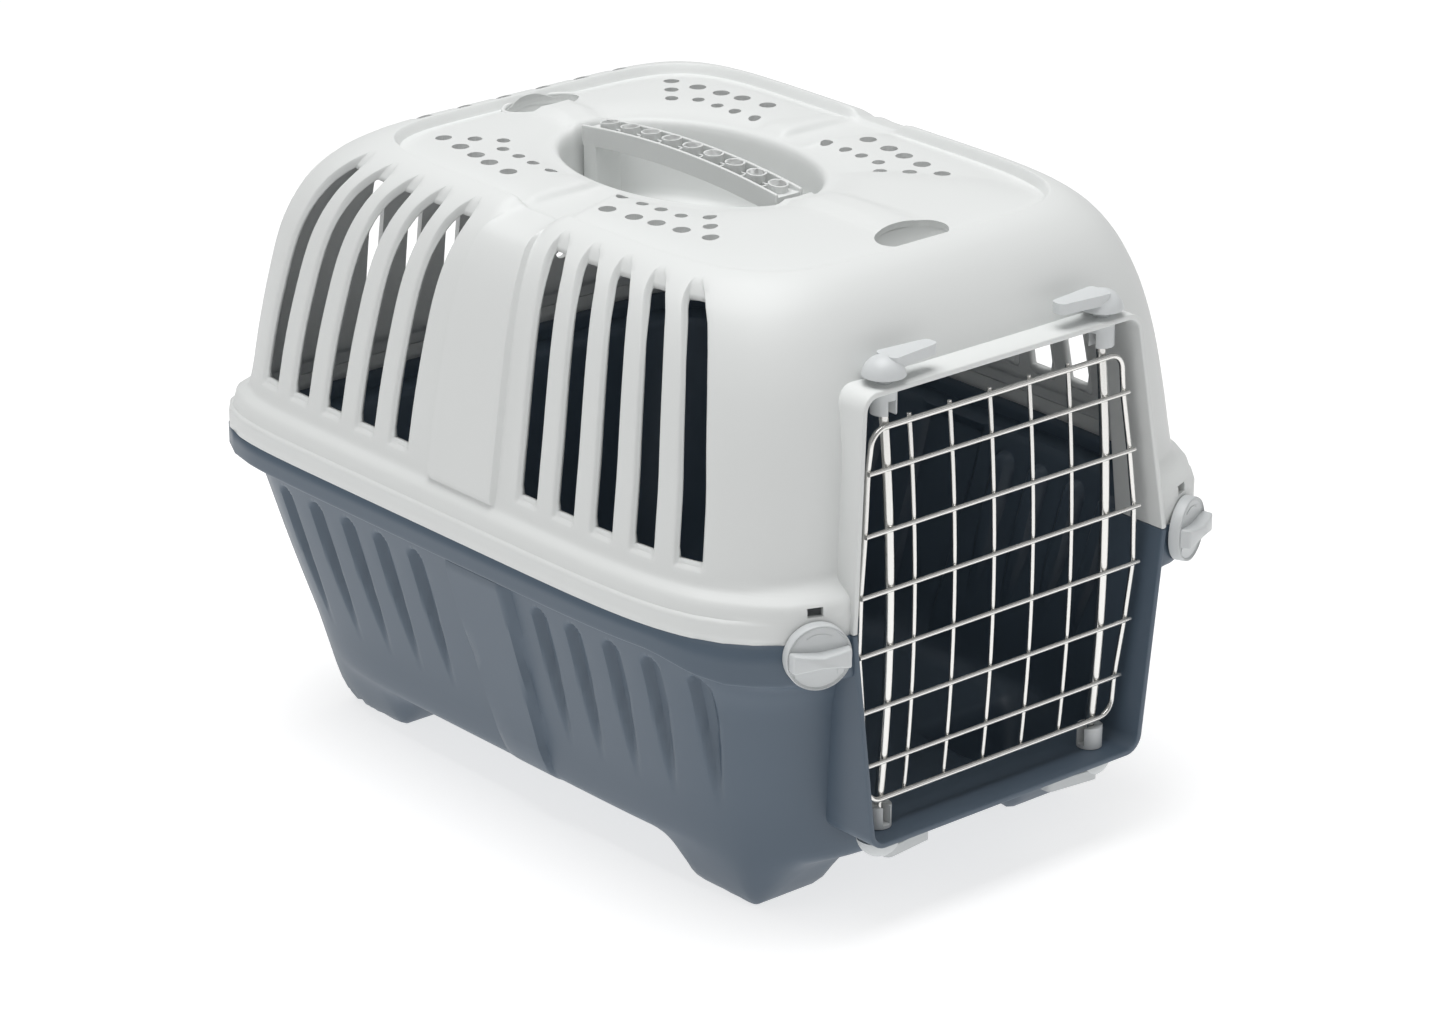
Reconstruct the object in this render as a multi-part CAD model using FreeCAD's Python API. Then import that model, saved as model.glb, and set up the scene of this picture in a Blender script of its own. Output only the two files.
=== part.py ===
"""Pet transport carrier: blue-grey tray, pale top shell, wire door, four door latches, two side locks.

Millimetres. +X is the viewer's right when facing the door, the door faces -Y, +Z is up.
The origin is on the ground in the middle of the carrier's box.
"""
import FreeCAD
import Part
import math
import os

V = FreeCAD.Vector

# ---------------------------------------------------------------- driving dimensions
WALL = 3.0                   # moulded wall of both shells
PARTING_Z = 166.0            # level where the tray meets the top shell
CENTRE_Y = 12.0              # level of greatest width in the plan outline
RIM = (173.5, -217.0, 222.0) # half width, front and rear of the rim where the shells meet
FRONT_N, REAR_N = 5.5, 9.0   # squareness of the front and rear halves of an outline

FLOOR_Z = 29.0               # inner floor of the tray
TRAY_BOTTOM_Z = 26.0
BAND_Z = 153.0               # underside of the rim band of the tray
CREST_Z = 325.0              # crest round the roof panel
PANEL_Z = 320.0              # recessed roof panel
SKIRT_TOP_Z = 188.0          # where the skirt of the top shell meets its wall

LIP_Y = -219.5               # front edge of the door collar
LIP_TOP_Y = -210.5           # the same edge at the top, leaning back
COLLAR_HALF = (88.0, 101.5, 88.5)   # half width of the opening at the sill, parting and top
SILL_Z, LINTEL_Z = 52.0, 278.0      # inner faces of the opening
COLLAR_BACK_Y = (-184.0, -189.0)    # inner end of the collar in the tray and in the top shell

HINGE_X, HINGE_Y = 71.5, -202.5     # axes of the two door rods
WIRE_R, BORDER_R, ROD_R, PIN_R = 1.15, 1.45, 2.4, 2.0
WELD = 0.25                         # how far two welded wires sink into each other
WIRE_PITCH = 26.0
FIRST_WIRE_X = -56.5
DOOR_TOP_Z, DOOR_BOTTOM_Z = 260.3, 68.0
CROSS_Z = [239.6 - 30.2 * i for i in range(6)]
DOOR_HALF = (82.0, 93.0, 82.0)      # half width of the door frame at its top, middle and bottom
DOOR_BEND_Z = 160.0
DOOR_BOW = 5.9                      # how far the rods bow forward at the middle
ROD_TOP_Z, ROD_BOTTOM_Z = 264.5, 65.0
PIN_TOP_Z, PIN_BOTTOM_Z = 273.0, 54.5

LEVER_DOME_R, LEVER_REACH = 10.8, 31.0
LEVER_BASE_Z, LEVER_H = 285.0, 10.5
LEVER_MIRROR_Z = 331.0              # sum of the base levels of the upper and lower levers
ARM_ROOT, ARM_TIP, ARM_T = 7.5, 4.0, 5.5
SEAT_Z, UNDER_SEAT_Z, SEAT_T = 280.0, 46.5, 4.5     # round seats under the two lever caps
STOP_X, STOP_Z, STOP_R, STOP_H = 54.0, 279.5, 3.4, 6.5
SHANK_FOOT_Z = 274.0
SHANK_R, BORE_R = 4.0, 4.05
JAW_R, JAW_BORE_R = 6.5, 2.4
JAW_MOUTH = 4.8
TOP_JAW_Z = (266.0, 273.4, 277.4)   # bottom of the jaw, floor of its mouth and top of its cap
BOTTOM_JAW_Z = (52.4, 54.1, 63.6)   # bottom of the cap, floor of the mouth and top of the jaw
GUARD_R, GUARD_BORE_R, GUARD_H = 9.6, 7.4, 9.0

DIAL_X, DIAL_Y, DIAL_Z = 121.7, -212.0, 160.0
DIAL_TOE = 22.0              # degrees between the dial's axis and -Y
DIAL_R, DIAL_T, GRIP_H = 16.5, 6.0, 7.0
GRIP_WIDE, GRIP_NARROW = 5.5, 2.6   # half height of the grip at its ends and waist
PAD_DEPTH = 14.0
PAD_HALF, PAD_Z = 20.0, (140.0, 190.0)
WINDOW = (4.0, 180.5, 186.5)        # half width and two levels of the window above a dial
CAM_R, CAM_INNER_R, CAM_HUB_R, CAM_T = 13.5, 10.5, 5.6, 3.0
CAM_ARM_L, CAM_ARM_HALF = 12.5, 2.2
PEG_R, PEG_L, PEG_UP = 1.8, 5.0, 8.0
DIAL_SHAFT_R = 3.5

LID_AXIS_Y, LID_AXIS_Z = 224.0, PARTING_Z
KNUCKLE_R, LID_PIN_R = 5.7, 2.5
KNUCKLE_X = (64.5, 83.5)
EAR_T = 4.0

SLOTS = 5
SLOT_BOTTOM_Y, SLOT_PITCH = 51.4, 28.0
SLOT_TOP_Y, SLOT_TOP_PITCH = 35.0, 23.1
SLOT_MID_Y = 6.0
SLOT_GAP = 8.0
SLOT_BEND = ((198.0, 0.0), (227.0, 0.07), (250.0, 0.17), (275.0, 0.31), (290.0, 0.44), (305.0, 0.64), (317.0, 0.92))
REAR_SLOT_X = (13.0, 39.0, 65.0)
REAR_SLOT_Z = (205.0, 312.0)

WELL = (52.0, 76.0, 22.0)    # half width, half length and centre y of the hand well
WELL_FLOOR_Z = 278.0
HANDLE_HALF_W, HANDLE_HALF_L, HANDLE_TOP_Z = 11.0, 74.0, 329.0
HANDLE_RISE, HANDLE_H, RAIL_T = 5.0, 11.0, 2.5
BOSSES, BOSS_PITCH, BOSS_R, BOSS_BORE_R = 9, 16.8, 5.3, 3.7

VENT_Y = 22.0
VENTS = ((66.0, 28.0, 3.2), (65.0, 43.0, 3.2), (64.0, 56.0, 3.2), (63.0, 70.0, 3.2),
         (86.0, 39.0, 4.0), (84.0, 57.0, 4.0), (81.5, 71.0, 4.0), (79.0, 87.0, 4.0),
         (55.0, 80.0, 3.6), (65.0, 92.5, 3.6), (76.0, 105.0, 3.6))   # x, distance from VENT_Y, radius
STRAP_Y = (-143.0, 141.0)
STRAP_Z, STRAP_R, STRAP_HALF = 313.0, 3.0, 20.0
FOOT_X = ((56.0, 122.0), (62.0, 97.0))      # inner and outer face at the top and at the ground
FRONT_FOOT_Y = ((-176.0, -90.0), (-146.0, -111.0))
REAR_FOOT_Y = ((108.0, 180.0), (136.0, 171.0))
FAR = 300.0                                 # beyond the carrier in any direction


# ---------------------------------------------------------------- helpers
def outline(z, half_w, front, rear, n_front=FRONT_N, n_rear=REAR_N, steps=14):
    """Closed plan outline of two edges: a superellipse whose front and rear halves differ."""
    edges = []
    for turn, n, reach in ((0.0, n_rear, rear - CENTRE_Y), (math.pi, n_front, CENTRE_Y - front)):
        points = []
        for i in range(2 * steps + 1):
            angle = turn + math.pi / 2 * i / steps
            c, s = math.cos(angle), math.sin(angle)
            x = half_w * math.copysign(abs(c) ** (2 / n), c)
            y = CENTRE_Y + reach * math.copysign(abs(s) ** (2 / n), s)
            points.append(V(x, CENTRE_Y if i in (0, 2 * steps) else y, z))
        curve = Part.BSplineCurve()
        knots = [i / (2 * steps) for i in range(2 * steps + 1)]
        curve.interpolate(Points=points, Parameters=knots)
        edges.append(curve.toShape())
    return Part.Wire(edges)


def loft(sections, ruled=False, inset=0.0):
    """Solid through (z, half width, front, rear[, n_front, n_rear]) sections."""
    wires = []
    for z, half_w, front, rear, *ns in sections:
        wires.append(outline(z, half_w - inset, front + inset, rear - inset, *ns))
    return Part.makeLoft(wires, True, ruled)


def rounded_path(points, radius, closed=False):
    """Wire through 3D points whose corners are arcs of one radius."""
    count = len(points)
    edges, ends = [], []
    for i, point in enumerate(points):
        if not closed and i in (0, count - 1):
            ends.append((point, point))
            continue
        a = (points[i - 1] - point).normalize()
        b = (points[(i + 1) % count] - point).normalize()
        half = a.getAngle(b) / 2
        if half > math.radians(89):
            ends.append((point, point))
            continue
        cut = radius / math.tan(half)
        middle = (a + b).normalize()
        centre = point + middle * (radius / math.sin(half))
        start, end = point + a * cut, point + b * cut
        edges.append((i, Part.Arc(start, centre - middle * radius, end).toShape()))
        ends.append((start, end))
    arcs = dict(edges)
    chain = []
    for i in range(count):
        if i in arcs:
            chain.append(arcs[i])
        if closed or i < count - 1:
            chain.append(Part.makeLine(ends[i][1], ends[(i + 1) % count][0]))
    return Part.Wire(chain)


def sweep(path, radius):
    """Round wire of the given radius along a path."""
    start = path.Edges[0]
    tangent = start.tangentAt(start.FirstParameter)
    ring = Part.Wire(Part.makeCircle(radius, start.valueAt(start.FirstParameter), tangent))
    return path.makePipeShell([ring], True, False)


def cylinder(radius, start, end):
    return Part.makeCylinder(radius, (end - start).Length, start, end - start)


def box(x0, x1, y0, y1, z0, z1):
    return Part.makeBox(x1 - x0, y1 - y0, z1 - z0, V(x0, y0, z0))


def prism_y(points, y0, y1, radius=0.0):
    """Solid with an outline in XZ between two y levels."""
    corners = [V(x, y0, z) for x, z in points]
    if radius:
        wire = rounded_path(corners, radius, closed=True)
    else:
        wire = Part.makePolygon(corners + corners[:1])
    return Part.Face(wire).extrude(V(0, y1 - y0, 0))


def mirrored(shape):
    return shape.mirror(V(0, 0, 0), V(1, 0, 0))


def both_sides(shape):
    return [shape, mirrored(shape)]


def export(name, shape):
    shape.exportStep("parts/" + name + ".step")


# ---------------------------------------------------------------- shared geometry
def collar(y_back, upper, offset):
    """Prism of the hexagonal door opening, grown by offset; upper or lower half."""
    sill, parting, top = (half + offset for half in COLLAR_HALF)
    low, high = SILL_Z - offset, LINTEL_Z + offset
    points = [(-sill, low), (-parting, PARTING_Z), (-top, high),
              (top, high), (parting, PARTING_Z), (sill, low)]
    solid = prism_y(points, LIP_Y - 20, y_back, 10.0 + offset)
    z0, z1 = (PARTING_Z, 400) if upper else (0, PARTING_Z)
    return solid.common(box(-FAR, FAR, -FAR, 0, z0, z1))


def lip_trim():
    """Everything in front of the lip, which leans back above the parting level."""
    lower = [(-300, 0), (LIP_Y, 0), (LIP_Y, PARTING_Z), (LIP_TOP_Y, LINTEL_Z + WALL),
             (LIP_TOP_Y, 400), (-300, 400)]
    wire = Part.makePolygon([V(-200, y, z) for y, z in lower + lower[:1]])
    return Part.Face(wire).extrude(V(400, 0, 0))


def dial_frame(side):
    """Point on the pad, outward normal and tangent of a side lock."""
    toe = math.radians(DIAL_TOE)
    normal = V(side * math.sin(toe), -math.cos(toe), 0)
    tangent = V(math.cos(toe), side * math.sin(toe), 0)
    return V(side * DIAL_X, DIAL_Y, DIAL_Z), normal, tangent


def dial_pad(side):
    """Flat pad that carries a side lock, across the parting level."""
    point, normal, tangent = dial_frame(side)
    half, (low, high) = PAD_HALF, PAD_Z
    corner = point - tangent * half - normal * PAD_DEPTH
    base = [corner, corner + tangent * 2 * half,
            corner + tangent * 2 * half + normal * PAD_DEPTH, corner + normal * PAD_DEPTH]
    base = [V(p.x, p.y, low) for p in base]
    pad = Part.Face(Part.makePolygon(base + base[:1])).extrude(V(0, 0, high - low))
    return pad.makeFillet(3.0, [e for e in pad.Edges if abs(e.CenterOfMass.z - high) < 0.1])


def cam_pocket(side):
    """Room for the cam to turn behind the pad."""
    point, normal, tangent = dial_frame(side)
    return cylinder(CAM_R + 1, point - normal * (PAD_DEPTH + 0.3), point - normal * (PAD_DEPTH + 10))


def lid_knuckle(side):
    a, b = KNUCKLE_X
    start, end = V(side * a, LID_AXIS_Y, LID_AXIS_Z), V(side * b, LID_AXIS_Y, LID_AXIS_Z)
    return start, end


# ---------------------------------------------------------------- top shell
SKIRT = [(PARTING_Z, *RIM), (178, *RIM), (184, 170.5, -214, 219), (SKIRT_TOP_Z, 164.5, -208, 213)]
DOME = [(SKIRT_TOP_Z, 164.5, -208, 213), (220, 159, -205, 209.5), (250, 153.5, -202, 205.5),
        (275, 148, -196, 201), (295, 141.5, -187.5, 194, 5.5, 8), (310, 133, -178, 183, 5.5, 7),
        (319, 124.5, -169, 171, 5.5, 6.5), (CREST_Z, 113, -158, 155.5, 5.5, 6)]


def slot_cutters():
    """Long side slots: nearly upright on the wall, bending towards the middle over the shoulder."""
    cutters = []
    for group in (-1, 1):
        for k in range(SLOTS):
            low = SLOT_MID_Y + group * (SLOT_BOTTOM_Y + SLOT_PITCH * k)
            high = SLOT_MID_Y + group * (SLOT_TOP_Y + SLOT_TOP_PITCH * k)
            track = [(low + part * (high - low), z) for z, part in SLOT_BEND]
            left = [V(0, y - SLOT_GAP / 2, z) for y, z in track]
            right = [V(0, y + SLOT_GAP / 2, z) for y, z in reversed(track)]
            loop = left + right
            face = Part.Face(Part.makePolygon(loop + loop[:1]))
            cutter = face.extrude(V(240, 0, 0))
            cutter.translate(V(100, 0, 0))
            cutters.extend(both_sides(cutter))
    return cutters


def rear_slot_cutters():
    """Six slots in the rear wall."""
    cutters = []
    for x in REAR_SLOT_X:
        cutters.extend(both_sides(box(x - SLOT_GAP / 2, x + SLOT_GAP / 2, 155, 240, *REAR_SLOT_Z)))
    return cutters


def vent_cutters():
    """Four mirrored clusters of round holes in the roof panel."""
    cutters = []
    for x, y, radius in VENTS:
        for sx in (-1, 1):
            for sy in (-1, 1):
                base = V(sx * x, VENT_Y + sy * y, PANEL_Z - 20)
                cutters.append(Part.makeCylinder(radius, 30, base))
    return cutters


def ellipse_prism(offset, z0, z1):
    half_w, half_l, y = WELL
    curve = Part.Ellipse(V(0, 0, 0), half_l + offset, half_w + offset).toShape()
    solid = Part.Face(Part.Wire(curve)).extrude(V(0, 0, z1 - z0))
    solid.rotate(V(0, 0, 0), V(0, 0, 1), 90)
    solid.translate(V(0, y, z0))
    return solid


def make_top_shell():
    dome_in = DOME[:-1] + [(PANEL_Z + 1, 120, -166, 165, 5.5, 6)]
    skirt_in = [(PARTING_Z - 1, *RIM)] + SKIRT[1:]
    inner = loft(skirt_in, ruled=True, inset=WALL).fuse(loft(dome_in, inset=WALL))
    inner = inner.common(box(-FAR, FAR, -FAR, FAR, 0, PANEL_Z - WALL))
    panel = loft([(PANEL_Z, 110, -155, 152.5, 5.5, 6), (CREST_Z + 1, 111, -156, 153.5, 5.5, 6)], True)
    shell = loft(SKIRT, ruled=True).fuse(loft(DOME)).cut(panel)
    walls = [ellipse_prism(2.5, WELL_FLOOR_Z - 2.5, PANEL_Z - 1)]
    pockets = []
    for y in STRAP_Y:
        half = STRAP_HALF
        pockets.append(box(-half, half, y - 11, y + 11, STRAP_Z - 9, CREST_Z + 1))
        walls.append(box(-half - 2.5, half + 2.5, y - 13, y + 13, STRAP_Z - 11.5, PANEL_Z - 1))
    front_parts = [collar(COLLAR_BACK_Y[1], True, WALL)]
    for side in (-1, 1):
        front_parts.append(dial_pad(side).common(box(-FAR, FAR, -FAR, 0, PARTING_Z, 400)))
    for part in front_parts:
        shell = shell.fuse(part)
    for part in walls + front_parts:
        inner = inner.cut(part)
    shell = shell.cut(inner)
    for side in (-1, 1):
        shell = shell.fuse(Part.makeCylinder(LEVER_DOME_R + 0.2, SEAT_T, V(side * HINGE_X, HINGE_Y, SEAT_Z)))
        shell = shell.fuse(Part.makeCylinder(STOP_R, STOP_H, V(side * STOP_X, HINGE_Y - 1, STOP_Z)))
        start, end = lid_knuckle(side)
        shell = shell.fuse(cylinder(KNUCKLE_R, start, end))
        x0, x1 = sorted((start.x, end.x))
        shell = shell.fuse(box(x0, x1, 220, LID_AXIS_Y, 166.2, 171.7))
    for cutter in (collar(-150, True, 0), lip_trim(), ellipse_prism(0, WELL_FLOOR_Z, CREST_Z + 1)):
        shell = shell.cut(cutter)
    cuts = pockets + slot_cutters() + rear_slot_cutters() + vent_cutters()
    for side in (-1, 1):
        cuts.append(Part.makeCylinder(BORE_R, 20, V(side * HINGE_X, HINGE_Y, 270)))
        point, normal, tangent = dial_frame(side)
        half, low, high = WINDOW
        window = box(-half, half, -30, 30, low, high)
        window.rotate(V(0, 0, 0), V(0, 0, 1), side * DIAL_TOE)
        window.translate(V(point.x, point.y, 0))
        cuts.append(window)
        cuts.append(cylinder(DIAL_R + 1, point, point + normal * 30))
        cuts.append(cam_pocket(side))
        start, end = lid_knuckle(side)
        cuts.append(cylinder(LID_PIN_R + 0.06, start - V(side, 0, 0), end + V(side, 0, 0)))
        for near in (KNUCKLE_X[0] - EAR_T - 0.5, KNUCKLE_X[1]):
            a = V(side * near, LID_AXIS_Y, LID_AXIS_Z)
            cuts.append(cylinder(KNUCKLE_R + 0.4, a, a + V(side * (EAR_T + 0.5), 0, 0)))
    shell = shell.cut(cuts)
    for side in (-1, 1):
        point, normal, tangent = dial_frame(side)
        root = point - normal * (PAD_DEPTH - 1) + V(0, 0, PEG_UP)
        shell = shell.fuse(cylinder(PEG_R, root, root - normal * PEG_L))
    return shell


# ---------------------------------------------------------------- bottom tray
WALLS = [(TRAY_BOTTOM_Z, 119, -180, 180, 5.5, 7), (33, 128, -187, 187.5, 5.5, 8),
         (BAND_Z, 163.5, -208.5, 211)]


def make_foot(side, reach):
    """Tapered corner foot."""
    wires = []
    for z, (x0, x1), (y0, y1) in zip((TRAY_BOTTOM_Z + 1, 0), FOOT_X, reach):
        corners = [(x0, y0), (x1, y0), (x1, y1), (x0, y1)]
        points = [V(side * x, y, z) for x, y in corners]
        wires.append(rounded_path(points, 9.0, closed=True))
    return Part.makeLoft(wires, True, True)


def make_bottom_tray():
    tray = loft(WALLS, ruled=True).fuse(loft([(BAND_Z, *RIM), (PARTING_Z, *RIM)], ruled=True))
    sides = [(FLOOR_Z, 124, -185, 184.5, 5.5, 7)] + WALLS[1:] + [(PARTING_Z + 1, 166, -211, 214)]
    inner = loft(sides, ruled=True, inset=WALL)
    front_parts = [collar(COLLAR_BACK_Y[0], False, WALL)]
    for side in (-1, 1):
        front_parts.append(dial_pad(side).common(box(-FAR, FAR, -FAR, 0, 0, PARTING_Z)))
    for part in front_parts:
        tray = tray.fuse(part)
        inner = inner.cut(part)
    for side in (-1, 1):
        for reach in (FRONT_FOOT_Y, REAR_FOOT_Y):
            tray = tray.fuse(make_foot(side, reach))
    tray = tray.cut(inner)
    for side in (-1, 1):
        tray = tray.fuse(Part.makeCylinder(LEVER_DOME_R, SEAT_T, V(side * HINGE_X, HINGE_Y, UNDER_SEAT_Z)))
    for cutter in (collar(-150, False, 0), lip_trim()):
        tray = tray.cut(cutter)
    for side in (-1, 1):
        centre = V(side * HINGE_X, HINGE_Y, SILL_Z - 1)
        bore = Part.makeCylinder(GUARD_BORE_R, GUARD_H + 3, centre + V(0, 0, 1))
        guard = Part.makeCylinder(GUARD_R, GUARD_H, centre).cut(bore)
        x0, x1 = sorted((centre.x - 12, centre.x + 12))
        tray = tray.fuse(guard.cut(box(x0, x1, -230, HINGE_Y + 1, SILL_Z, SILL_Z + 12)))
        start, end = lid_knuckle(side)
        ear_x = [(KNUCKLE_X[0] - EAR_T, KNUCKLE_X[0] - 0.5), (KNUCKLE_X[1] + 0.5, KNUCKLE_X[1] + EAR_T)]
        for a, b in ear_x:
            x0, x1 = sorted((side * a, side * b))
            tray = tray.fuse(box(x0, x1, 220, LID_AXIS_Y + 4, 158, LID_AXIS_Z - 0.2))
            tray = tray.fuse(cylinder(4.6, V(x0, LID_AXIS_Y, LID_AXIS_Z), V(x1, LID_AXIS_Y, LID_AXIS_Z)))
        tray = tray.cut(cylinder(KNUCKLE_R + 0.5, start - V(side * 0.4, 0, 0), end + V(side * 0.4, 0, 0)))
        tray = tray.fuse(cylinder(LID_PIN_R, start - V(side, 0, 0), end + V(side, 0, 0)))
        point, normal, tangent = dial_frame(side)
        tray = tray.cut([Part.makeCylinder(BORE_R, 20, V(side * HINGE_X, HINGE_Y, 40)),
                         cylinder(DIAL_SHAFT_R + 0.05, point - normal * 40, point + normal * 10),
                         cylinder(DIAL_R + 1, point, point + normal * 30), cam_pocket(side)])
    return tray


# ---------------------------------------------------------------- handle and strap bars
def handle_band(top_z, bottom_z, x0, x1):
    """Arched band in the YZ plane between two levels at mid length."""
    y = WELL[2]
    ends = (y - HANDLE_HALF_L, y + HANDLE_HALF_L)
    top = Part.Arc(V(x0, ends[0], top_z - HANDLE_RISE), V(x0, y, top_z), V(x0, ends[1], top_z - HANDLE_RISE))
    low = Part.Arc(V(x0, ends[1], bottom_z - HANDLE_RISE), V(x0, y, bottom_z),
                   V(x0, ends[0], bottom_z - HANDLE_RISE))
    rear = Part.makeLine(V(x0, ends[1], top_z - HANDLE_RISE), V(x0, ends[1], bottom_z - HANDLE_RISE))
    front = Part.makeLine(V(x0, ends[0], bottom_z - HANDLE_RISE), V(x0, ends[0], top_z - HANDLE_RISE))
    wire = Part.Wire([top.toShape(), rear, low.toShape(), front])
    return Part.Face(wire).extrude(V(x1 - x0, 0, 0))


def make_handle():
    """Arched grip: two rails, a web and a row of round ring bosses, on two posts."""
    w, z, y = HANDLE_HALF_W, HANDLE_TOP_Z, WELL[2]
    body = handle_band(z, z - HANDLE_H, -w, w)
    hollow = handle_band(z + 1, z - HANDLE_H + 1.6, -w + RAIL_T, w - RAIL_T)
    rings = []
    for k in range(BOSSES):
        base = V(0, y + (k - (BOSSES - 1) / 2) * BOSS_PITCH, z - HANDLE_H - HANDLE_RISE)
        ring = Part.makeCylinder(BOSS_R, 40, base).cut(Part.makeCylinder(BOSS_BORE_R, 41, base))
        rings.append(ring.common(handle_band(z - 0.8, z - HANDLE_H + 0.5, -w, w)))
        rings.append(box(-w + 1, -BOSS_R + 0.4, base.y - 0.7, base.y + 0.7, z - 14, z + 5)
                     .common(handle_band(z - 2, z - HANDLE_H + 0.5, -w, w)))
        rings.append(box(BOSS_R - 0.4, w - 1, base.y - 0.7, base.y + 0.7, z - 14, z + 5)
                     .common(handle_band(z - 2, z - HANDLE_H + 0.5, -w, w)))
    body = body.cut(hollow).fuse(rings)
    posts = []
    for end in (-1, 1):
        y0, y1 = sorted((y + end * (HANDLE_HALF_L - 10), y + end * HANDLE_HALF_L))
        post = box(-w, w, y0, y1, WELL_FLOOR_Z, z - HANDLE_RISE - 4)
        posts.append(post.common(ellipse_prism(-0.2, WELL_FLOOR_Z, z)))
    return body.fuse(posts).common(ellipse_prism(-0.2, WELL_FLOOR_Z, z + 5)).removeSplitter()


def make_strap_bar(y):
    return cylinder(STRAP_R, V(-STRAP_HALF, y, STRAP_Z), V(STRAP_HALF, y, STRAP_Z))


# ---------------------------------------------------------------- wire door
def rod_y(z):
    """Centre of the rods: an arc bowed forward between their two ends."""
    middle = (ROD_TOP_Z + ROD_BOTTOM_Z) / 2
    reach = (ROD_TOP_Z - ROD_BOTTOM_Z) / 2
    return HINGE_Y - DOOR_BOW * (1 - ((z - middle) / reach) ** 2)


CROSS_FORWARD = ROD_R + WIRE_R - WELD               # cross wires lie in front of the rods
FRAME_FORWARD = ROD_R + BORDER_R - WELD             # and so do the top and bottom of the frame
SIDE_FORWARD = CROSS_FORWARD - BORDER_R - WIRE_R + WELD
UPRIGHT_FORWARD = CROSS_FORWARD - 2 * WIRE_R + WELD


def half_width(z):
    """Half width of the frame at a level."""
    top, middle, bottom = DOOR_HALF
    if z > DOOR_BEND_Z:
        return middle + (top - middle) * (z - DOOR_BEND_Z) / (DOOR_TOP_Z - DOOR_BEND_Z)
    return middle + (bottom - middle) * (DOOR_BEND_Z - z) / (DOOR_BEND_Z - DOOR_BOTTOM_Z)


def make_border():
    """Closed frame wire: in front of the rods at its top and bottom, behind the cross wires at its sides."""
    right = []
    for z in (DOOR_TOP_Z, *CROSS_Z, DOOR_BOTTOM_Z):
        forward = FRAME_FORWARD if z in (DOOR_TOP_Z, DOOR_BOTTOM_Z) else SIDE_FORWARD
        right.append(V(half_width(z), rod_y(z) - forward, z))
    left = [V(-p.x, p.y, p.z) for p in reversed(right)]
    return sweep(rounded_path(right + left, 9.0, closed=True), BORDER_R)


def make_uprights():
    wires = []
    top, bottom = DOOR_TOP_Z + 2.2, DOOR_BOTTOM_Z - 1.4
    for k in range(5):
        x = FIRST_WIRE_X + WIRE_PITCH * k
        points = [V(x, rod_y(z) - UPRIGHT_FORWARD, z) for z in (top, (top + bottom) / 2, bottom)]
        wires.append(sweep(Part.Wire(Part.Arc(*points).toShape()), WIRE_R))
    return Part.makeCompound(wires)


def make_cross_wires():
    wires = []
    for z in CROSS_Z:
        half = half_width(z) + 1.6
        y = rod_y(z) - CROSS_FORWARD
        wires.append(cylinder(WIRE_R, V(-half, y, z), V(half, y, z)))
    return Part.makeCompound(wires)


def make_rod(side):
    """Thick rod behind the cross wires, ending in two pins on the hinge line."""
    x = side * HINGE_X
    middle = (ROD_TOP_Z + ROD_BOTTOM_Z) / 2
    points = [V(x, rod_y(z), z) for z in (ROD_TOP_Z, middle, ROD_BOTTOM_Z)]
    rod = sweep(Part.Wire(Part.Arc(*points).toShape()), ROD_R)
    pins = [cylinder(PIN_R, V(x, HINGE_Y, ROD_TOP_Z - 3), V(x, HINGE_Y, PIN_TOP_Z)),
            cylinder(PIN_R, V(x, HINGE_Y, ROD_BOTTOM_Z + 3), V(x, HINGE_Y, PIN_BOTTOM_Z))]
    return rod.fuse(pins)


# ---------------------------------------------------------------- door latches
def make_lever(side):
    """Top lever: domed cap, tapering arm to the middle of the door, shank through the lip."""
    x = side * HINGE_X
    base, height = LEVER_BASE_Z, LEVER_H
    centre = V(x, HINGE_Y, base - 1)
    cap = Part.makeSphere(LEVER_DOME_R, centre).common(box(x - 20, x + 20, -230, -180, base, base + 20))
    inward = -side
    root, tip = ARM_ROOT, ARM_TIP
    y = HINGE_Y
    reach = LEVER_REACH
    outline_points = [V(x, y - root, 0), V(x + inward * reach, y - tip, 0),
                      V(x + inward * reach, y + tip, 0), V(x, y + root, 0)]
    face = Part.Face(rounded_path(outline_points, 3.0, closed=True))
    arm = face.extrude(V(0, 0, ARM_T))
    arm.translate(V(0, 0, base + height - 6.5))
    shank = Part.makeCylinder(SHANK_R, base + 1 - SHANK_FOOT_Z, V(x, HINGE_Y, SHANK_FOOT_Z))
    return cap.fuse([arm, shank]).removeSplitter()


def make_jaw(side, z0, z1, mouth_turn):
    """C-shaped jaw that grips a door pin; its mouth faces -Y, turned by mouth_turn degrees."""
    jaw = Part.makeCylinder(JAW_R, z1 - z0, V(0, 0, z0))
    jaw = jaw.cut(Part.makeCylinder(JAW_BORE_R, z1 - z0, V(0, 0, z0)))
    jaw = jaw.cut(box(-JAW_MOUTH / 2, JAW_MOUTH / 2, -10, 0, z0 - 1, z1 + 1))
    jaw.rotate(V(0, 0, 0), V(0, 0, 1), mouth_turn)
    jaw.translate(V(side * HINGE_X, HINGE_Y, 0))
    return jaw


def make_top_jaw(side, mouth_turn):
    low, floor, top = TOP_JAW_Z
    jaw = make_jaw(side, low, floor, mouth_turn)
    cap = Part.makeCylinder(JAW_R, top - floor, V(side * HINGE_X, HINGE_Y, floor))
    socket = Part.makeCylinder(SHANK_R, 10, V(side * HINGE_X, HINGE_Y, SHANK_FOOT_Z))
    return jaw.fuse(cap).cut(socket).removeSplitter()


def make_bottom_lever(side):
    """Lever under the sill: the top lever upside down."""
    lever = make_lever(side)
    lever = lever.mirror(V(0, 0, LEVER_MIRROR_Z / 2), V(0, 0, 1))
    keep = box(-200, 200, -240, -150, 0, 53.6)
    return lever.common(keep)


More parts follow.
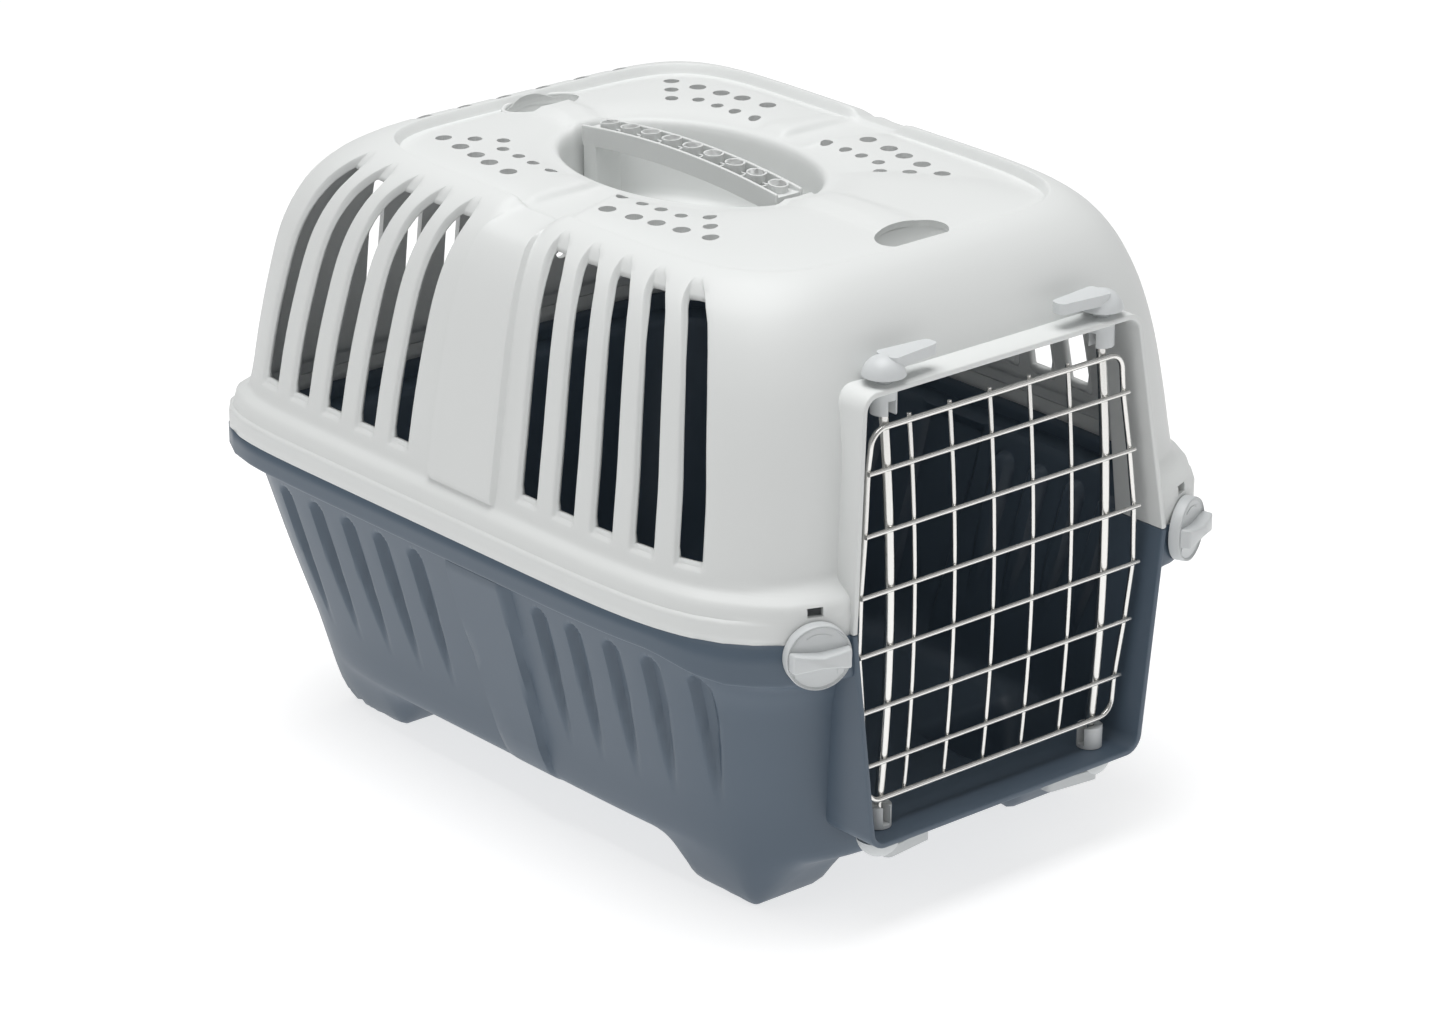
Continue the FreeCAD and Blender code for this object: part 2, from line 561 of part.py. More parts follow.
def make_bottom_jaw(side, mouth_turn):
    low, floor, top = BOTTOM_JAW_Z
    jaw = make_jaw(side, floor, top, mouth_turn)
    cap = Part.makeCylinder(JAW_R, floor - low, V(side * HINGE_X, HINGE_Y, low))
    socket = Part.makeCylinder(SHANK_R, 10, V(side * HINGE_X, HINGE_Y, 43.6))
    return jaw.fuse(cap).cut(socket).removeSplitter()


# ---------------------------------------------------------------- side locks
def make_dial(side):
    """Round knob with a waisted grip, and its shaft through the tray."""
    point, normal, tangent = dial_frame(side)
    disc = cylinder(DIAL_R, point + normal * 0.5, point + normal * (0.5 + DIAL_T))
    edge = [e for e in disc.Edges if e.Closed and (e.CenterOfMass - point).dot(normal) > DIAL_T]
    disc = disc.makeFillet(1.8, edge)
    up = V(0, 0, 1)
    top = point + normal * DIAL_T
    wide, narrow, half = GRIP_WIDE, GRIP_NARROW, DIAL_R - 1.0
    a = top - tangent * half
    b = top + tangent * half
    edges = [Part.Arc(a + up * wide, top + up * narrow, b + up * wide).toShape(),
             Part.makeLine(b + up * wide, b - up * wide),
             Part.Arc(b - up * wide, top - up * narrow, a - up * wide).toShape(),
             Part.makeLine(a - up * wide, a + up * wide)]
    grip = Part.Face(Part.Wire(edges)).extrude(normal * GRIP_H)
    grip = grip.common(cylinder(DIAL_R - 0.6, top, top + normal * 20))
    shaft = cylinder(DIAL_SHAFT_R, point + normal, point - normal * (PAD_DEPTH + 4.5))
    return disc.fuse([grip, shaft]).removeSplitter()


def make_cam(side):
    """Hooked cam behind the pad; a quarter turn brings its hook over the peg of the top shell."""
    point, normal, tangent = dial_frame(side)
    start = point - normal * (PAD_DEPTH + 1.0)
    end = start - normal * CAM_T
    ring = cylinder(CAM_R, start, end).cut(cylinder(CAM_INNER_R, start + normal, end - normal))
    out = tangent * -side
    low = V(0, 0, -1)

    def direction(degrees):
        angle = math.radians(degrees)
        return out * math.cos(angle) - low * math.sin(angle)

    fan = [start] + [start + direction(d) * 40 for d in (125, 155, 185, 215)]
    sector = Part.Face(Part.makePolygon(fan + fan[:1])).extrude(-normal * CAM_T)
    hook = ring.common(sector)
    hub = cylinder(CAM_HUB_R, start, end)
    along, across = direction(208), direction(298)
    base, wide = start - across * CAM_ARM_HALF, across * 2 * CAM_ARM_HALF
    arm_points = [base, base + along * CAM_ARM_L, base + along * CAM_ARM_L + wide, base + wide]
    arm = Part.Face(Part.makePolygon(arm_points + arm_points[:1])).extrude(-normal * CAM_T)
    cam = hub.fuse([hook, arm])
    return cam.cut(cylinder(DIAL_SHAFT_R, start + normal, end - normal)).removeSplitter()


# ---------------------------------------------------------------- build
def main():
    os.makedirs("parts", exist_ok=True)
    export("bottom_tray", make_bottom_tray())
    export("top_shell", make_top_shell())
    export("carry_handle", make_handle())
    export("strap_bar_front", make_strap_bar(STRAP_Y[0]))
    export("strap_bar_rear", make_strap_bar(STRAP_Y[1]))
    export("door_border_wire", make_border())
    export("door_upright_wires", make_uprights())
    export("door_cross_wires", make_cross_wires())
    for side, word in ((-1, "left"), (1, "right")):
        turn = 0 if side < 0 else -90
        export("door_rod_" + word, make_rod(side))
        export("latch_lever_top_" + word, make_lever(side))
        export("latch_jaw_top_" + word, make_top_jaw(side, turn))
        export("latch_lever_bottom_" + word, make_bottom_lever(side))
        export("latch_jaw_bottom_" + word, make_bottom_jaw(side, turn))
        export("side_dial_" + word, make_dial(side))
        export("dial_cam_" + word, make_cam(side))


main()
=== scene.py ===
"""Pet transport carrier with a wire door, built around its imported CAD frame.

Metres, +Z up, the door faces -Y. Named sizes are millimetres and are turned to metres with MM.
"""
import math
from bisect import bisect_right

import bmesh
import bpy
from mathutils import Matrix, Vector


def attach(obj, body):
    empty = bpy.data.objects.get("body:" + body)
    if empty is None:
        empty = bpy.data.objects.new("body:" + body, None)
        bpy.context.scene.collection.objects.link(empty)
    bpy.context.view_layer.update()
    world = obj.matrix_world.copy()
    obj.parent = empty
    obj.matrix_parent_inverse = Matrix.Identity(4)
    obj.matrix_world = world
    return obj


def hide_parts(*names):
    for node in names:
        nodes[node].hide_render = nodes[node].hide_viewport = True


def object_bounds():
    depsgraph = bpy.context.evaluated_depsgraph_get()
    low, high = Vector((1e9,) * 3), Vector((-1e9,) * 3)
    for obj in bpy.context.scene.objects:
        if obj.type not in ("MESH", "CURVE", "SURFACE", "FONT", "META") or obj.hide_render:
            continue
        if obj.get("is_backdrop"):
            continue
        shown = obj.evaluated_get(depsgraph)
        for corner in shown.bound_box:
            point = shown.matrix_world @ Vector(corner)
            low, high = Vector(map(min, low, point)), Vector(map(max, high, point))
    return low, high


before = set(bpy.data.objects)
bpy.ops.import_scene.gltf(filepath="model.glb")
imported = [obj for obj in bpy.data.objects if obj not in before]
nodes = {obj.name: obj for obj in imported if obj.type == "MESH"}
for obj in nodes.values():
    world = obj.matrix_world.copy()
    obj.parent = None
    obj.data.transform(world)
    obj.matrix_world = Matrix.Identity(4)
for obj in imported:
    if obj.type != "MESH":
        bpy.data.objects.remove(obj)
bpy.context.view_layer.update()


# ---------------------------------------------------------------- top shell
# The upper half is one injection moulding in pale grey polypropylene: a rim, walls with ten long air slots
# on each side, a roof panel with round vents and a deep hand well. It is moulded about 3.4 mm thick.
MM = 0.001
SHELL_WALL = 3.4
CENTRE_Y = 12.0
PARTING_Z, CREST_Z = 166.0, 325.0

# half width, front, rear, squareness of the front and rear halves of the outline; the profile adds a level
RIM = (173.5, -217.0, 222.0, 5.5, 9.0)
SHELL_PROFILE = [
    (PARTING_Z, *RIM), (175.0, *RIM),
    (176.4, 172.9, -216.4, 221.4, 5.5, 9.0), (177.2, 171.9, -215.4, 220.4, 5.5, 9.0),
    (181.5, 171.1, -214.6, 219.6, 5.5, 9.0), (184.2, 169.8, -213.3, 218.3, 5.5, 9.0),
    (186.0, 167.4, -210.9, 215.9, 5.5, 9.0), (188.0, 164.8, -208.3, 213.3, 5.5, 9.0),
    (192.0, 163.7, -207.4, 212.4, 5.5, 9.0), (220.0, 159.0, -205.0, 209.5, 5.5, 9.0),
    (250.0, 153.5, -202.0, 205.5, 5.5, 9.0), (275.0, 148.0, -196.0, 201.0, 5.5, 9.0),
    (295.0, 141.5, -187.5, 194.0, 5.5, 8.0), (310.0, 133.5, -178.0, 183.5, 5.5, 7.0),
    (319.0, 124.5, -169.0, 171.0, 5.5, 6.5), (323.0, 118.0, -162.5, 162.5, 5.5, 6.2),
    (CREST_Z, 112.0, -157.0, 154.5, 5.5, 6.0)]

SLOT_MID_Y, SLOT_COUNT = 6.0, 5
SLOT_LOW, SLOT_LOW_PITCH = 51.4, 28.0
SLOT_HIGH, SLOT_HIGH_PITCH = 35.0, 23.1
# level, and how far the slot has bent there from its lower to its upper place
SLOT_BEND = [(198.0, 0.0), (227.0, 0.07), (250.0, 0.17), (275.0, 0.31), (290.0, 0.44), (305.0, 0.64),
             (313.0, 0.81), (321.0, 1.0)]
SLOT_DEPTH = 2.3
HEAD_DEEPER, HEAD_DEEPER_Z = 0.8, (285.0, 312.0)   # share by which a slot deepens towards its head, and where
SLOT_FIELD = 14.0            # half of the field that belongs to one slot
SLOT_REACH = 10.0            # half of the part of it that narrows towards the head
# distance from the middle of the slot, and how deep the surface lies there
SLOT_SECTION = [
    (-SLOT_FIELD, 0.0), (-10.4, 0.0), (-9.4, 0.12), (-8.6, 0.5), (-8.0, 1.1), (-7.5, 1.8), (-7.1, SLOT_DEPTH),
    (-3.0, SLOT_DEPTH), (1.0, SLOT_DEPTH), (5.8, SLOT_DEPTH), (6.4, 1.9), (6.9, 1.15), (7.4, 0.5), (8.0, 0.1),
    (8.8, 0.0), (10.6, 0.0)]
SLOT_OPEN = (-7.1, 5.8)      # the part that is cut right through, and the same upwards
SLOT_SILL = [(193.8, 0.0), (194.6, 0.12), (195.4, 0.5), (196.4, 0.9), (198.6, 1.0)]
SLOT_OPEN_Z = (198.6, 315.4)
SLOT_HEAD = [(315.4, 1.0), (317.0, 0.72), (318.6, 0.42), (320.0, 0.18), (321.3, 0.03), (322.4, 0.0)]
SLOT_HEAD_ROUND, HEAD_NARROWEST = (307.0, 322.4), 0.3
# share of the middle field where the raised band starts and ends, and how far it stands out
BAND = (0.11, 0.78, 3.4)
BAND_EDGE = (0.015, 0.015, 0.01, 0.03)      # softness of its edges, as shares of the same field
BAND_FADE = (186.0, 191.0, 312.0, 324.0)    # levels where it rises out of the wall and runs out at the crest


def eased(table, key):
    """Smooth monotone curve through the rows of a table (key, values...), read at a key."""
    keys = [row[0] for row in table]
    i = min(max(bisect_right(keys, key) - 1, 0), len(keys) - 2)
    span = keys[i + 1] - keys[i]
    t = min(max((key - keys[i]) / span, 0.0), 1.0)
    values = []
    for a, b, first, last in zip(table[i][1:], table[i + 1][1:], table[max(i - 1, 0)][1:],
                                 table[min(i + 2, len(table) - 1)][1:]):
        slope = (b - a) / span
        before = (a - first) / (keys[i] - keys[i - 1]) if i else slope
        after = (last - b) / (keys[i + 2] - keys[i + 1]) if i + 2 < len(keys) else slope
        start = 2 * before * slope / (before + slope) if before * slope > 0 else 0.0
        end = 2 * after * slope / (after + slope) if after * slope > 0 else 0.0
        values.append(a * (1 + 2 * t) * (1 - t) ** 2 + b * t * t * (3 - 2 * t)
                      + span * (start * t * (1 - t) ** 2 - end * t * t * (1 - t)))
    return values


def ramp(value, start, end):
    """Smooth step from 0 at start to 1 at end."""
    t = min(max((value - start) / (end - start), 0.0), 1.0)
    return t * t * (3 - 2 * t)


def outline_point(section, y=None, turn=None):
    """Point and outward plan direction on an outline, at a y on its side or at a turn from its side."""
    half, front, rear, n_front, n_rear = section
    sign = -1 if (y is not None and y < CENTRE_Y) or (turn is not None and turn < 0) else 1
    reach, n = (CENTRE_Y - front, n_front) if sign < 0 else (rear - CENTRE_Y, n_rear)
    if turn is None:
        v = abs(y - CENTRE_Y) / reach
        u = (1 - min(v, 0.999) ** n) ** (1 / n)
    else:
        c, s = math.cos(turn), abs(math.sin(turn))
        size = (c ** n + s ** n) ** (-1 / n)
        u, v = c * size, s * size
    out = Vector((u ** (n - 1) / half, sign * v ** (n - 1) / reach, 0)).normalized()
    return Vector((u * half, CENTRE_Y + sign * v * reach, 0)), out


def turn_at(section, y):
    """Turn from the side of the outline at which it reaches a y."""
    point = outline_point(section, y=y)[0]
    half, front, rear = section[:3]
    reach = CENTRE_Y - front if y < CENTRE_Y else rear - CENTRE_Y
    return math.atan2((y - CENTRE_Y) / reach, point.x / half)


def half_grid(columns, rows, place, gone):
    """Bmesh of a grid whose vertices are put in place by place(column, row), mirrored to a whole ring."""
    bm = bmesh.new()
    bmesh.ops.create_grid(bm, x_segments=len(columns) - 1, y_segments=len(rows) - 1, size=0.5)
    step_x, step_y = 1 / (len(columns) - 1), 1 / (len(rows) - 1)
    index = {v: (round((v.co.x + 0.5) / step_x), round((v.co.y + 0.5) / step_y)) for v in bm.verts}
    unwanted = []
    for face in bm.faces:
        corners = [index[v] for v in face.verts]
        i, j = min(c[0] for c in corners), min(c[1] for c in corners)
        if gone(columns[i], columns[i + 1], rows[j], rows[j + 1]):
            unwanted.append(face)
    for v, (i, j) in index.items():
        v.co = place(columns[i], rows[j]) * MM
    bmesh.ops.delete(bm, geom=unwanted, context="FACES")
    copy = bmesh.ops.duplicate(bm, geom=bm.verts[:] + bm.edges[:] + bm.faces[:])["geom"]
    copied = [g for g in copy if isinstance(g, bmesh.types.BMVert)]
    bmesh.ops.scale(bm, vec=(-1, 1, 1), verts=copied)
    bmesh.ops.reverse_faces(bm, faces=[g for g in copy if isinstance(g, bmesh.types.BMFace)])
    bmesh.ops.remove_doubles(bm, verts=bm.verts, dist=0.05 * MM)
    bmesh.ops.dissolve_degenerate(bm, edges=bm.edges, dist=0.01 * MM)
    bmesh.ops.recalc_face_normals(bm, faces=bm.faces)
    return bm


def finished(bm, name, body, material, sharp=35.0):
    """Object from a bmesh, smooth but for its sharp edges, riding on a body."""
    mesh = bpy.data.meshes.new(name)
    for face in bm.faces:
        face.smooth = True
    bm.to_mesh(mesh)
    bm.free()
    mesh.set_sharp_from_angle(angle=math.radians(sharp))
    piece = bpy.data.objects.new(name, mesh)
    bpy.context.scene.collection.objects.link(piece)
    mesh.materials.append(material)
    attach(piece, body)
    return piece


DIAL_AT, DIAL_TOE = Vector((121.7, -212.0, 160.0)), math.radians(22.0)
SWELL_DEPTH, SWELL_HALF = 14.0, (12.0, 30.0)
SHELL_SWELL_Z = (181.0, 192.0)


def corner_swell(point):
    """How far the front corner swells out to give the side lock a flat seat."""
    out = Vector((math.sin(DIAL_TOE), -math.cos(DIAL_TOE), 0))
    along = Vector((math.cos(DIAL_TOE), math.sin(DIAL_TOE), 0))
    away = point - DIAL_AT
    behind = max(-(away.x * out.x + away.y * out.y), 0.0)
    across = abs(away.x * along.x + away.y * along.y)
    return out * min(behind, SWELL_DEPTH) * (1 - ramp(across, *SWELL_HALF))


def slot_y(group, k, z):
    """Middle of a slot at a level, and how much narrower it is there."""
    part = eased(SLOT_BEND, min(max(z, SLOT_BEND[0][0]), SLOT_BEND[-1][0]))[0]
    low = SLOT_LOW + SLOT_LOW_PITCH * k
    high = SLOT_HIGH + SLOT_HIGH_PITCH * k
    squeeze = 1 + (SLOT_HIGH_PITCH / SLOT_LOW_PITCH - 1) * part
    return SLOT_MID_Y + group * (low + (high - low) * part), squeeze


def band_rise(part):
    """The raised band round the middle of the shell, across the field between the slots."""
    low, high, rise = BAND
    a, b, c, d = BAND_EDGE
    return rise * ramp(part, low - a, low + b) * (1 - ramp(part, high - c, high + d))


END_COLUMNS = 15
shell_columns = [("front", t / END_COLUMNS) for t in range(END_COLUMNS)]
for k in reversed(range(SLOT_COUNT)):
    shell_columns += [("slot", -1, k, s, depth) for s, depth in SLOT_SECTION]
shell_columns += [("mid", t) for t in (
    0.0, 0.06, 0.09, 0.1, 0.105, 0.115, 0.12, 0.13, 0.18, 0.3, 0.45, 0.6, 0.7, 0.76, 0.775, 0.79, 0.8, 0.815,
    0.85, 0.92)]
for k in range(SLOT_COUNT):
    shell_columns += [("slot", 1, k, s, depth) for s, depth in SLOT_SECTION]
shell_columns += [("rear", t / END_COLUMNS) for t in range(END_COLUMNS + 1)]

shell_rows = [("wall", z) for z in (
    166, 170, 174, 175, 175.7, 176.4, 177.2, 179.5, 181.5, 183, 184.2, 185.1, 186, 187, 188, 189.6, 192,
    193.8, 194.6, 195.4, 196.4, 198.6, 203, 210, 218, 226, 235, 244, 253, 262, 268, 274, 279.5, 284.5,
    289, 293, 297, 300.5, 304, 307, 310.5, 313, 315.4, 317, 318.6, 320, 321.3, 322.4, 323.4, 324.2, 324.7,
    325)]
# The roof inside the crest: distance inwards and drop of the step, then shares of the way to the hand well.
PANEL_STEP = [(0.0, 0.0), (0.9, 0.1), (1.9, 1.0), (2.9, 3.3), (4.0, 4.9), (6.0, 5.5), (10.0, 5.6)]
PANEL_HALF_W, PANEL_HALF_L = 112.0, 156.0
PILLOW_RISE, PILLOW_ENDS = 3.2, (0.03, 0.3, 0.72, 1.0)
SPINE_RISE, SPINE_HALF = 2.4, (8.0, 12.5)
STEP_FRONT_Y = (120.0, 156.0)    # the step halves towards the front of the roof
shell_rows += [("step", inset) for inset, drop in PANEL_STEP[1:]]
shell_rows += [("panel", t) for t in (0.22, 0.36, 0.5, 0.64, 0.78, 0.88, 0.94, 0.98)]
WELL_HALF_W, WELL_HALF_L, WELL_Y = 58.0, 84.0, 22.0
# distance inwards from the rim of the well, and level: a rounded rim, a steep wall and a flat floor
WELL_SECTION = ((0.0, 319.6), (1.2, 319.3), (2.4, 318.4), (3.4, 316.8), (4.1, 314.3), (4.7, 310.5),
                (5.4, 304.0), (6.8, 294.0), (8.0, 285.0), (9.0, 281.5), (10.6, 279.4), (13.0, 278.3),
                (16.0, 278.0), (28.0, 278.0), (42.0, 278.0), (52.0, 278.0), (57.98, 278.0))
shell_rows += [("well", inset, z) for inset, z in WELL_SECTION]


def lean_at(profile, z, step, low, high):
    """How fast the half width of a profile changes at a level."""
    above, below = min(z + step, high), max(z - step, low)
    return (eased(profile, above)[0] - eased(profile, below)[0]) / (above - below)


SADDLE_DROP = 4.2
SADDLE_EDGES = ((-13.0, 14.0), (20.0, 20.0))   # y at the crest, and how far it has moved at the well
SADDLE_SOFT, SHOULDER_Z = 4.5, 308.0


def saddle(y, t=0.0):
    """Where the middle band crosses the roof as a shallow saddle; t runs from the crest to the well."""
    low, high = (start + shift * t for start, shift in SADDLE_EDGES)
    return (ramp(y, low - SADDLE_SOFT, low + SADDLE_SOFT)
            * (1 - ramp(y, high - SADDLE_SOFT, high + SADDLE_SOFT)))


def slot_field_edge(group, k, side, z):
    """y where the field of a slot ends, on its lower or its higher side."""
    middle, squeeze = slot_y(group, k, z)
    return middle + side * SLOT_FIELD * squeeze


def wall_place(column, z):
    """Point of the shell wall at a level: on the outline, displaced by slots and by the middle band."""
    section = eased(SHELL_PROFILE, z)
    kind = column[0]
    depth = part = 0.0
    if kind == "front":
        start = turn_at(section, slot_field_edge(-1, SLOT_COUNT - 1, -1, z))
        point, out = outline_point(section, turn=-math.pi / 2 + (start + math.pi / 2) * column[1])
    elif kind == "rear":
        start = turn_at(section, slot_field_edge(1, SLOT_COUNT - 1, 1, z))
        point, out = outline_point(section, turn=start + (math.pi / 2 - start) * column[1])
    elif kind == "mid":
        a, b = slot_field_edge(-1, 0, 1, z), slot_field_edge(1, 0, -1, z)
        part = column[1]
        point, out = outline_point(section, y=a + (b - a) * part)
    else:
        centre, squeeze = slot_y(column[1], column[2], z)
        s, depth = column[3], column[4]
        low, high = SLOT_HEAD_ROUND
        head = max((z - low) / (high - low), 0.0) if z <= high else 0.0
        if abs(s) < SLOT_REACH:
            s *= max(math.sqrt(1 - head ** 2), HEAD_NARROWEST)
        point, out = outline_point(section, y=centre + s * squeeze)
        depth *= 1 + HEAD_DEEPER * ramp(z, *HEAD_DEEPER_Z)
        if z < SLOT_OPEN_Z[0]:
            depth *= eased(SLOT_SILL, max(z, SLOT_SILL[0][0]))[0]
        if z > SLOT_OPEN_Z[1]:
            depth *= eased(SLOT_HEAD, min(z, SLOT_HEAD[-1][0]))[0]
    lean = lean_at(SHELL_PROFILE, z, 0.5, PARTING_Z, CREST_Z)
    normal = (out + Vector((0, 0, -lean))).normalized()
    start, full, fading, gone = BAND_FADE
    rise = band_rise(part) * ramp(z, start, full) * (1 - ramp(z, fading, gone))
    point.z = z
    point += normal * (rise - depth)
    point.z -= SADDLE_DROP * saddle(point.y) * ramp(z, SHOULDER_Z, CREST_Z)
    return point + corner_swell(point) * (1 - ramp(z, *SHELL_SWELL_Z))


def spine(x):
    """Low rib along the middle of the roof, from the well to the scoops."""
    return SPINE_RISE * (1 - ramp(abs(x), *SPINE_HALF))


def shell_place(column, row):
    """Point of the top shell: on its wall, on the roof between crest and well, or in the well."""
    if row[0] == "wall":
        return wall_place(column, row[1])
    crest = wall_place(column, CREST_Z)
    turn = math.atan2((crest.y - WELL_Y) / PANEL_HALF_L, crest.x / PANEL_HALF_W)
    inset = row[1] if row[0] == "well" else 0.0
    rim = Vector((math.cos(turn) * (WELL_HALF_W - inset), WELL_Y + math.sin(turn) * (WELL_HALF_L - inset), 0))
    if abs(rim.x) < 0.03:
        rim.x = 0.0
    if row[0] == "well":
        on_spine = abs(rim.y - WELL_Y) > 60.0 and inset < 5.0
        rim.z = row[2] + (spine(rim.x) if on_spine else 0.0)
        return rim
    length = (rim - Vector((crest.x, crest.y, 0))).length
    t = row[1] / length if row[0] == "step" else row[1]
    drop = eased(PANEL_STEP, min(t * length, PANEL_STEP[-1][0]))[0]
    soft_front = 1 - 0.5 * ramp(-crest.y, *STEP_FRONT_Y)
    point = crest.lerp(rim, t)
    low = saddle(point.y, t)
    start, full, fading, gone = PILLOW_ENDS
    pillow = PILLOW_RISE * ramp(t, start, full) * (1 - ramp(t, fading, gone)) * (1 - low)
    beyond_well = ramp(abs(point.y - WELL_Y), WELL_HALF_L - 6.0, WELL_HALF_L + 4.0)
    roof_z = CREST_Z - SADDLE_DROP * saddle(crest.y) - drop * soft_front * (1 - 0.7 * low) + pillow
    roof_z -= ramp(t, 0.85, 1.0) * (roof_z - WELL_SECTION[0][1])
    point.z = roof_z + spine(point.x) * beyond_well * ramp(t, 0.1, 0.5)
    return point


def shell_gone(left, right, low, high):
    """Faces that the slots leave open."""
    if left[0] != "slot" or right[0] != "slot" or low[0] != "wall" or high[0] != "wall":
        return False
    across = left[3] >= SLOT_OPEN[0] and right[3] <= SLOT_OPEN[1] and left[2] == right[2]
    return across and low[1] >= SLOT_OPEN_Z[0] and high[1] <= SLOT_OPEN_Z[1]


def srgb(text):
    """Linear colour of an sRGB hex value."""
    parts = [int(text[i:i + 2], 16) / 255 for i in (1, 3, 5)]
    return (*[c / 12.92 if c <= 0.04045 else ((c + 0.055) / 1.055) ** 2.4 for c in parts], 1.0)


def add_node(material, kind, settings=None, links=None):
    """One shader node with its socket values and its incoming links."""
    node = material.node_tree.nodes.new(kind)
    for key, value in (settings or {}).items():
        if key in node.inputs:
            node.inputs[key].default_value = value
        else:
            setattr(node, key, value)
    for key, socket in (links or {}).items():
        material.node_tree.links.new(socket, node.inputs[key])
    return node


def moulded(name, colour, roughness, grain_mm, grain_depth):
    """Polypropylene as it leaves a textured mould: dull, with a fine grain that breaks up highlights."""
    material = bpy.data.materials.new(name)
    material.use_nodes = True
    material.node_tree.nodes.clear()
    place = add_node(material, "ShaderNodeTexCoord")
    grain = add_node(material, "ShaderNodeTexNoise", {"Scale": 1000 / grain_mm, "Detail": 2.0},
                     {"Vector": place.outputs["Object"]})
    relief = add_node(material, "ShaderNodeBump", {"Strength": 0.25, "Distance": grain_depth * MM},
                      {"Height": grain.outputs["Fac"]})
    surface = add_node(material, "ShaderNodeBsdfPrincipled",
                       {"Base Color": srgb(colour), "Roughness": roughness, "IOR": 1.49},
                       {"Normal": relief.outputs["Normal"]})
    add_node(material, "ShaderNodeOutputMaterial", {}, {"Surface": surface.outputs["BSDF"]})
    return material


pale_polypropylene = moulded("pale_polypropylene_fine_texture", "#DADCDB", 0.48, 0.9, 0.05)

shell_bm = half_grid(shell_columns, shell_rows, shell_place, shell_gone)
top_shell = finished(shell_bm, "top_shell_moulding", "lid", pale_polypropylene)
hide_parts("top_shell")


def walled(piece, thickness):
    """Gives an open surface its moulded thickness inwards."""
    solid = piece.modifiers.new("moulded_wall", "SOLIDIFY")
    solid.thickness = thickness * MM
    solid.offset = -1.0
    solid.use_quality_normals = True
    apply_modifiers(piece)


def apply_modifiers(piece):
    """Turns the modifiers of a piece into its mesh."""
    shape = bpy.data.meshes.new_from_object(piece.evaluated_get(bpy.context.evaluated_depsgraph_get()))
    old = piece.data
    piece.modifiers.clear()
    piece.data = shape
    bpy.data.meshes.remove(old)


def carve(piece, cutter_bm):
    """Cuts the shape of a bmesh out of a piece."""
    mesh = bpy.data.meshes.new("cutter")
    bmesh.ops.recalc_face_normals(cutter_bm, faces=cutter_bm.faces)
    cutter_bm.to_mesh(mesh)
    cutter_bm.free()
    cutter = bpy.data.objects.new("cutter", mesh)
    bpy.context.scene.collection.objects.link(cutter)
    cut = piece.modifiers.new("cut", "BOOLEAN")
    cut.object = cutter
    cut.operation = "DIFFERENCE"
    cut.solver = "MANIFOLD"
    apply_modifiers(piece)
    bpy.data.objects.remove(cutter)


walled(top_shell, SHELL_WALL)

# Round vents in four mirrored clusters and the doorway are openings in the same moulding.
# x, distance from the middle of the well, radius.
VENTS = ((67.5, 28.0, 3.3), (67.0, 43.0, 3.3), (66.0, 56.0, 3.3), (65.0, 70.0, 3.3),
         (86.0, 39.0, 4.5), (84.0, 57.0, 4.5), (81.5, 71.0, 4.5), (79.0, 87.0, 4.5),
         (56.0, 81.0, 3.5), (65.5, 92.5, 3.8), (76.0, 105.0, 4.3))
VENT_CUT_Z, VENT_CUT_H = 318.0, 20.0
vent_bm = bmesh.new()
for x, y, radius in VENTS:
    for sx in (-1, 1):
        for sy in (-1, 1):
            at = Matrix.Translation(Vector((sx * x, WELL_Y + sy * y, VENT_CUT_Z)) * MM)
            bmesh.ops.create_cone(vent_bm, cap_ends=True, segments=24, radius1=radius * MM,
                                  radius2=radius * MM, depth=VENT_CUT_H * MM, matrix=at)
carve(top_shell, vent_bm)

COLLAR_HALF = ((52.0, 88.0), (PARTING_Z, 101.5), (278.0, 88.5))   # level, half width
COLLAR_ROUND, CORNER_SHARE = 10.0, 0.62   # corner radius, and the share of it that the bevel is given
DOORWAY_GAP, DOORWAY_Y = 1.5, (-260.0, -150.0)


def doorway(upper, grown):
    """Profile of the hexagonal doorway in XZ, as an open bmesh chain; its upper or lower half."""
    (low_z, low), (mid_z, mid), (top_z, top) = COLLAR_HALF
    edge_z, edge = (top_z + grown, top + grown) if upper else (low_z - grown, low + grown)
    corners = [(-mid - grown, mid_z), (-edge, edge_z), (edge, edge_z), (mid + grown, mid_z)]
    bm = bmesh.new()
    chain = [bm.verts.new(Vector((x, 0, z)) * MM) for x, z in corners]
    for a, b in zip(chain, chain[1:]):
        bm.edges.new((a, b))
    bmesh.ops.bevel(bm, geom=chain[1:3], offset=(COLLAR_ROUND + grown) * CORNER_SHARE * MM,
                    offset_type="OFFSET", segments=6, profile=0.5, affect="VERTICES", material=-1)
    return bm


def doorway_cutter(upper):
    """Block that clears the doorway out of a shell, a little larger than the opening of the collar."""
    start_y, back_y = DOORWAY_Y
    bm = doorway(upper, DOORWAY_GAP)
    bmesh.ops.translate(bm, vec=Vector((0, start_y, 0)) * MM, verts=bm.verts)
    ends = [v for v in bm.verts if len(v.link_edges) == 1]
    low = [bm.verts.new(v.co + Vector((0, 0, -2 if upper else 2)) * MM) for v in ends]
    for a, b in zip(ends, low):
        bm.edges.new((a, b))
    bm.edges.new(low)
    face = bmesh.ops.contextual_create(bm, geom=bm.edges[:])["faces"]
    moved = bmesh.ops.extrude_face_region(bm, geom=face)["geom"]
    bmesh.ops.translate(bm, vec=Vector((0, back_y - start_y, 0)) * MM,
                        verts=[g for g in moved if isinstance(g, bmesh.types.BMVert)])
    return bm


carve(top_shell, doorway_cutter(True))

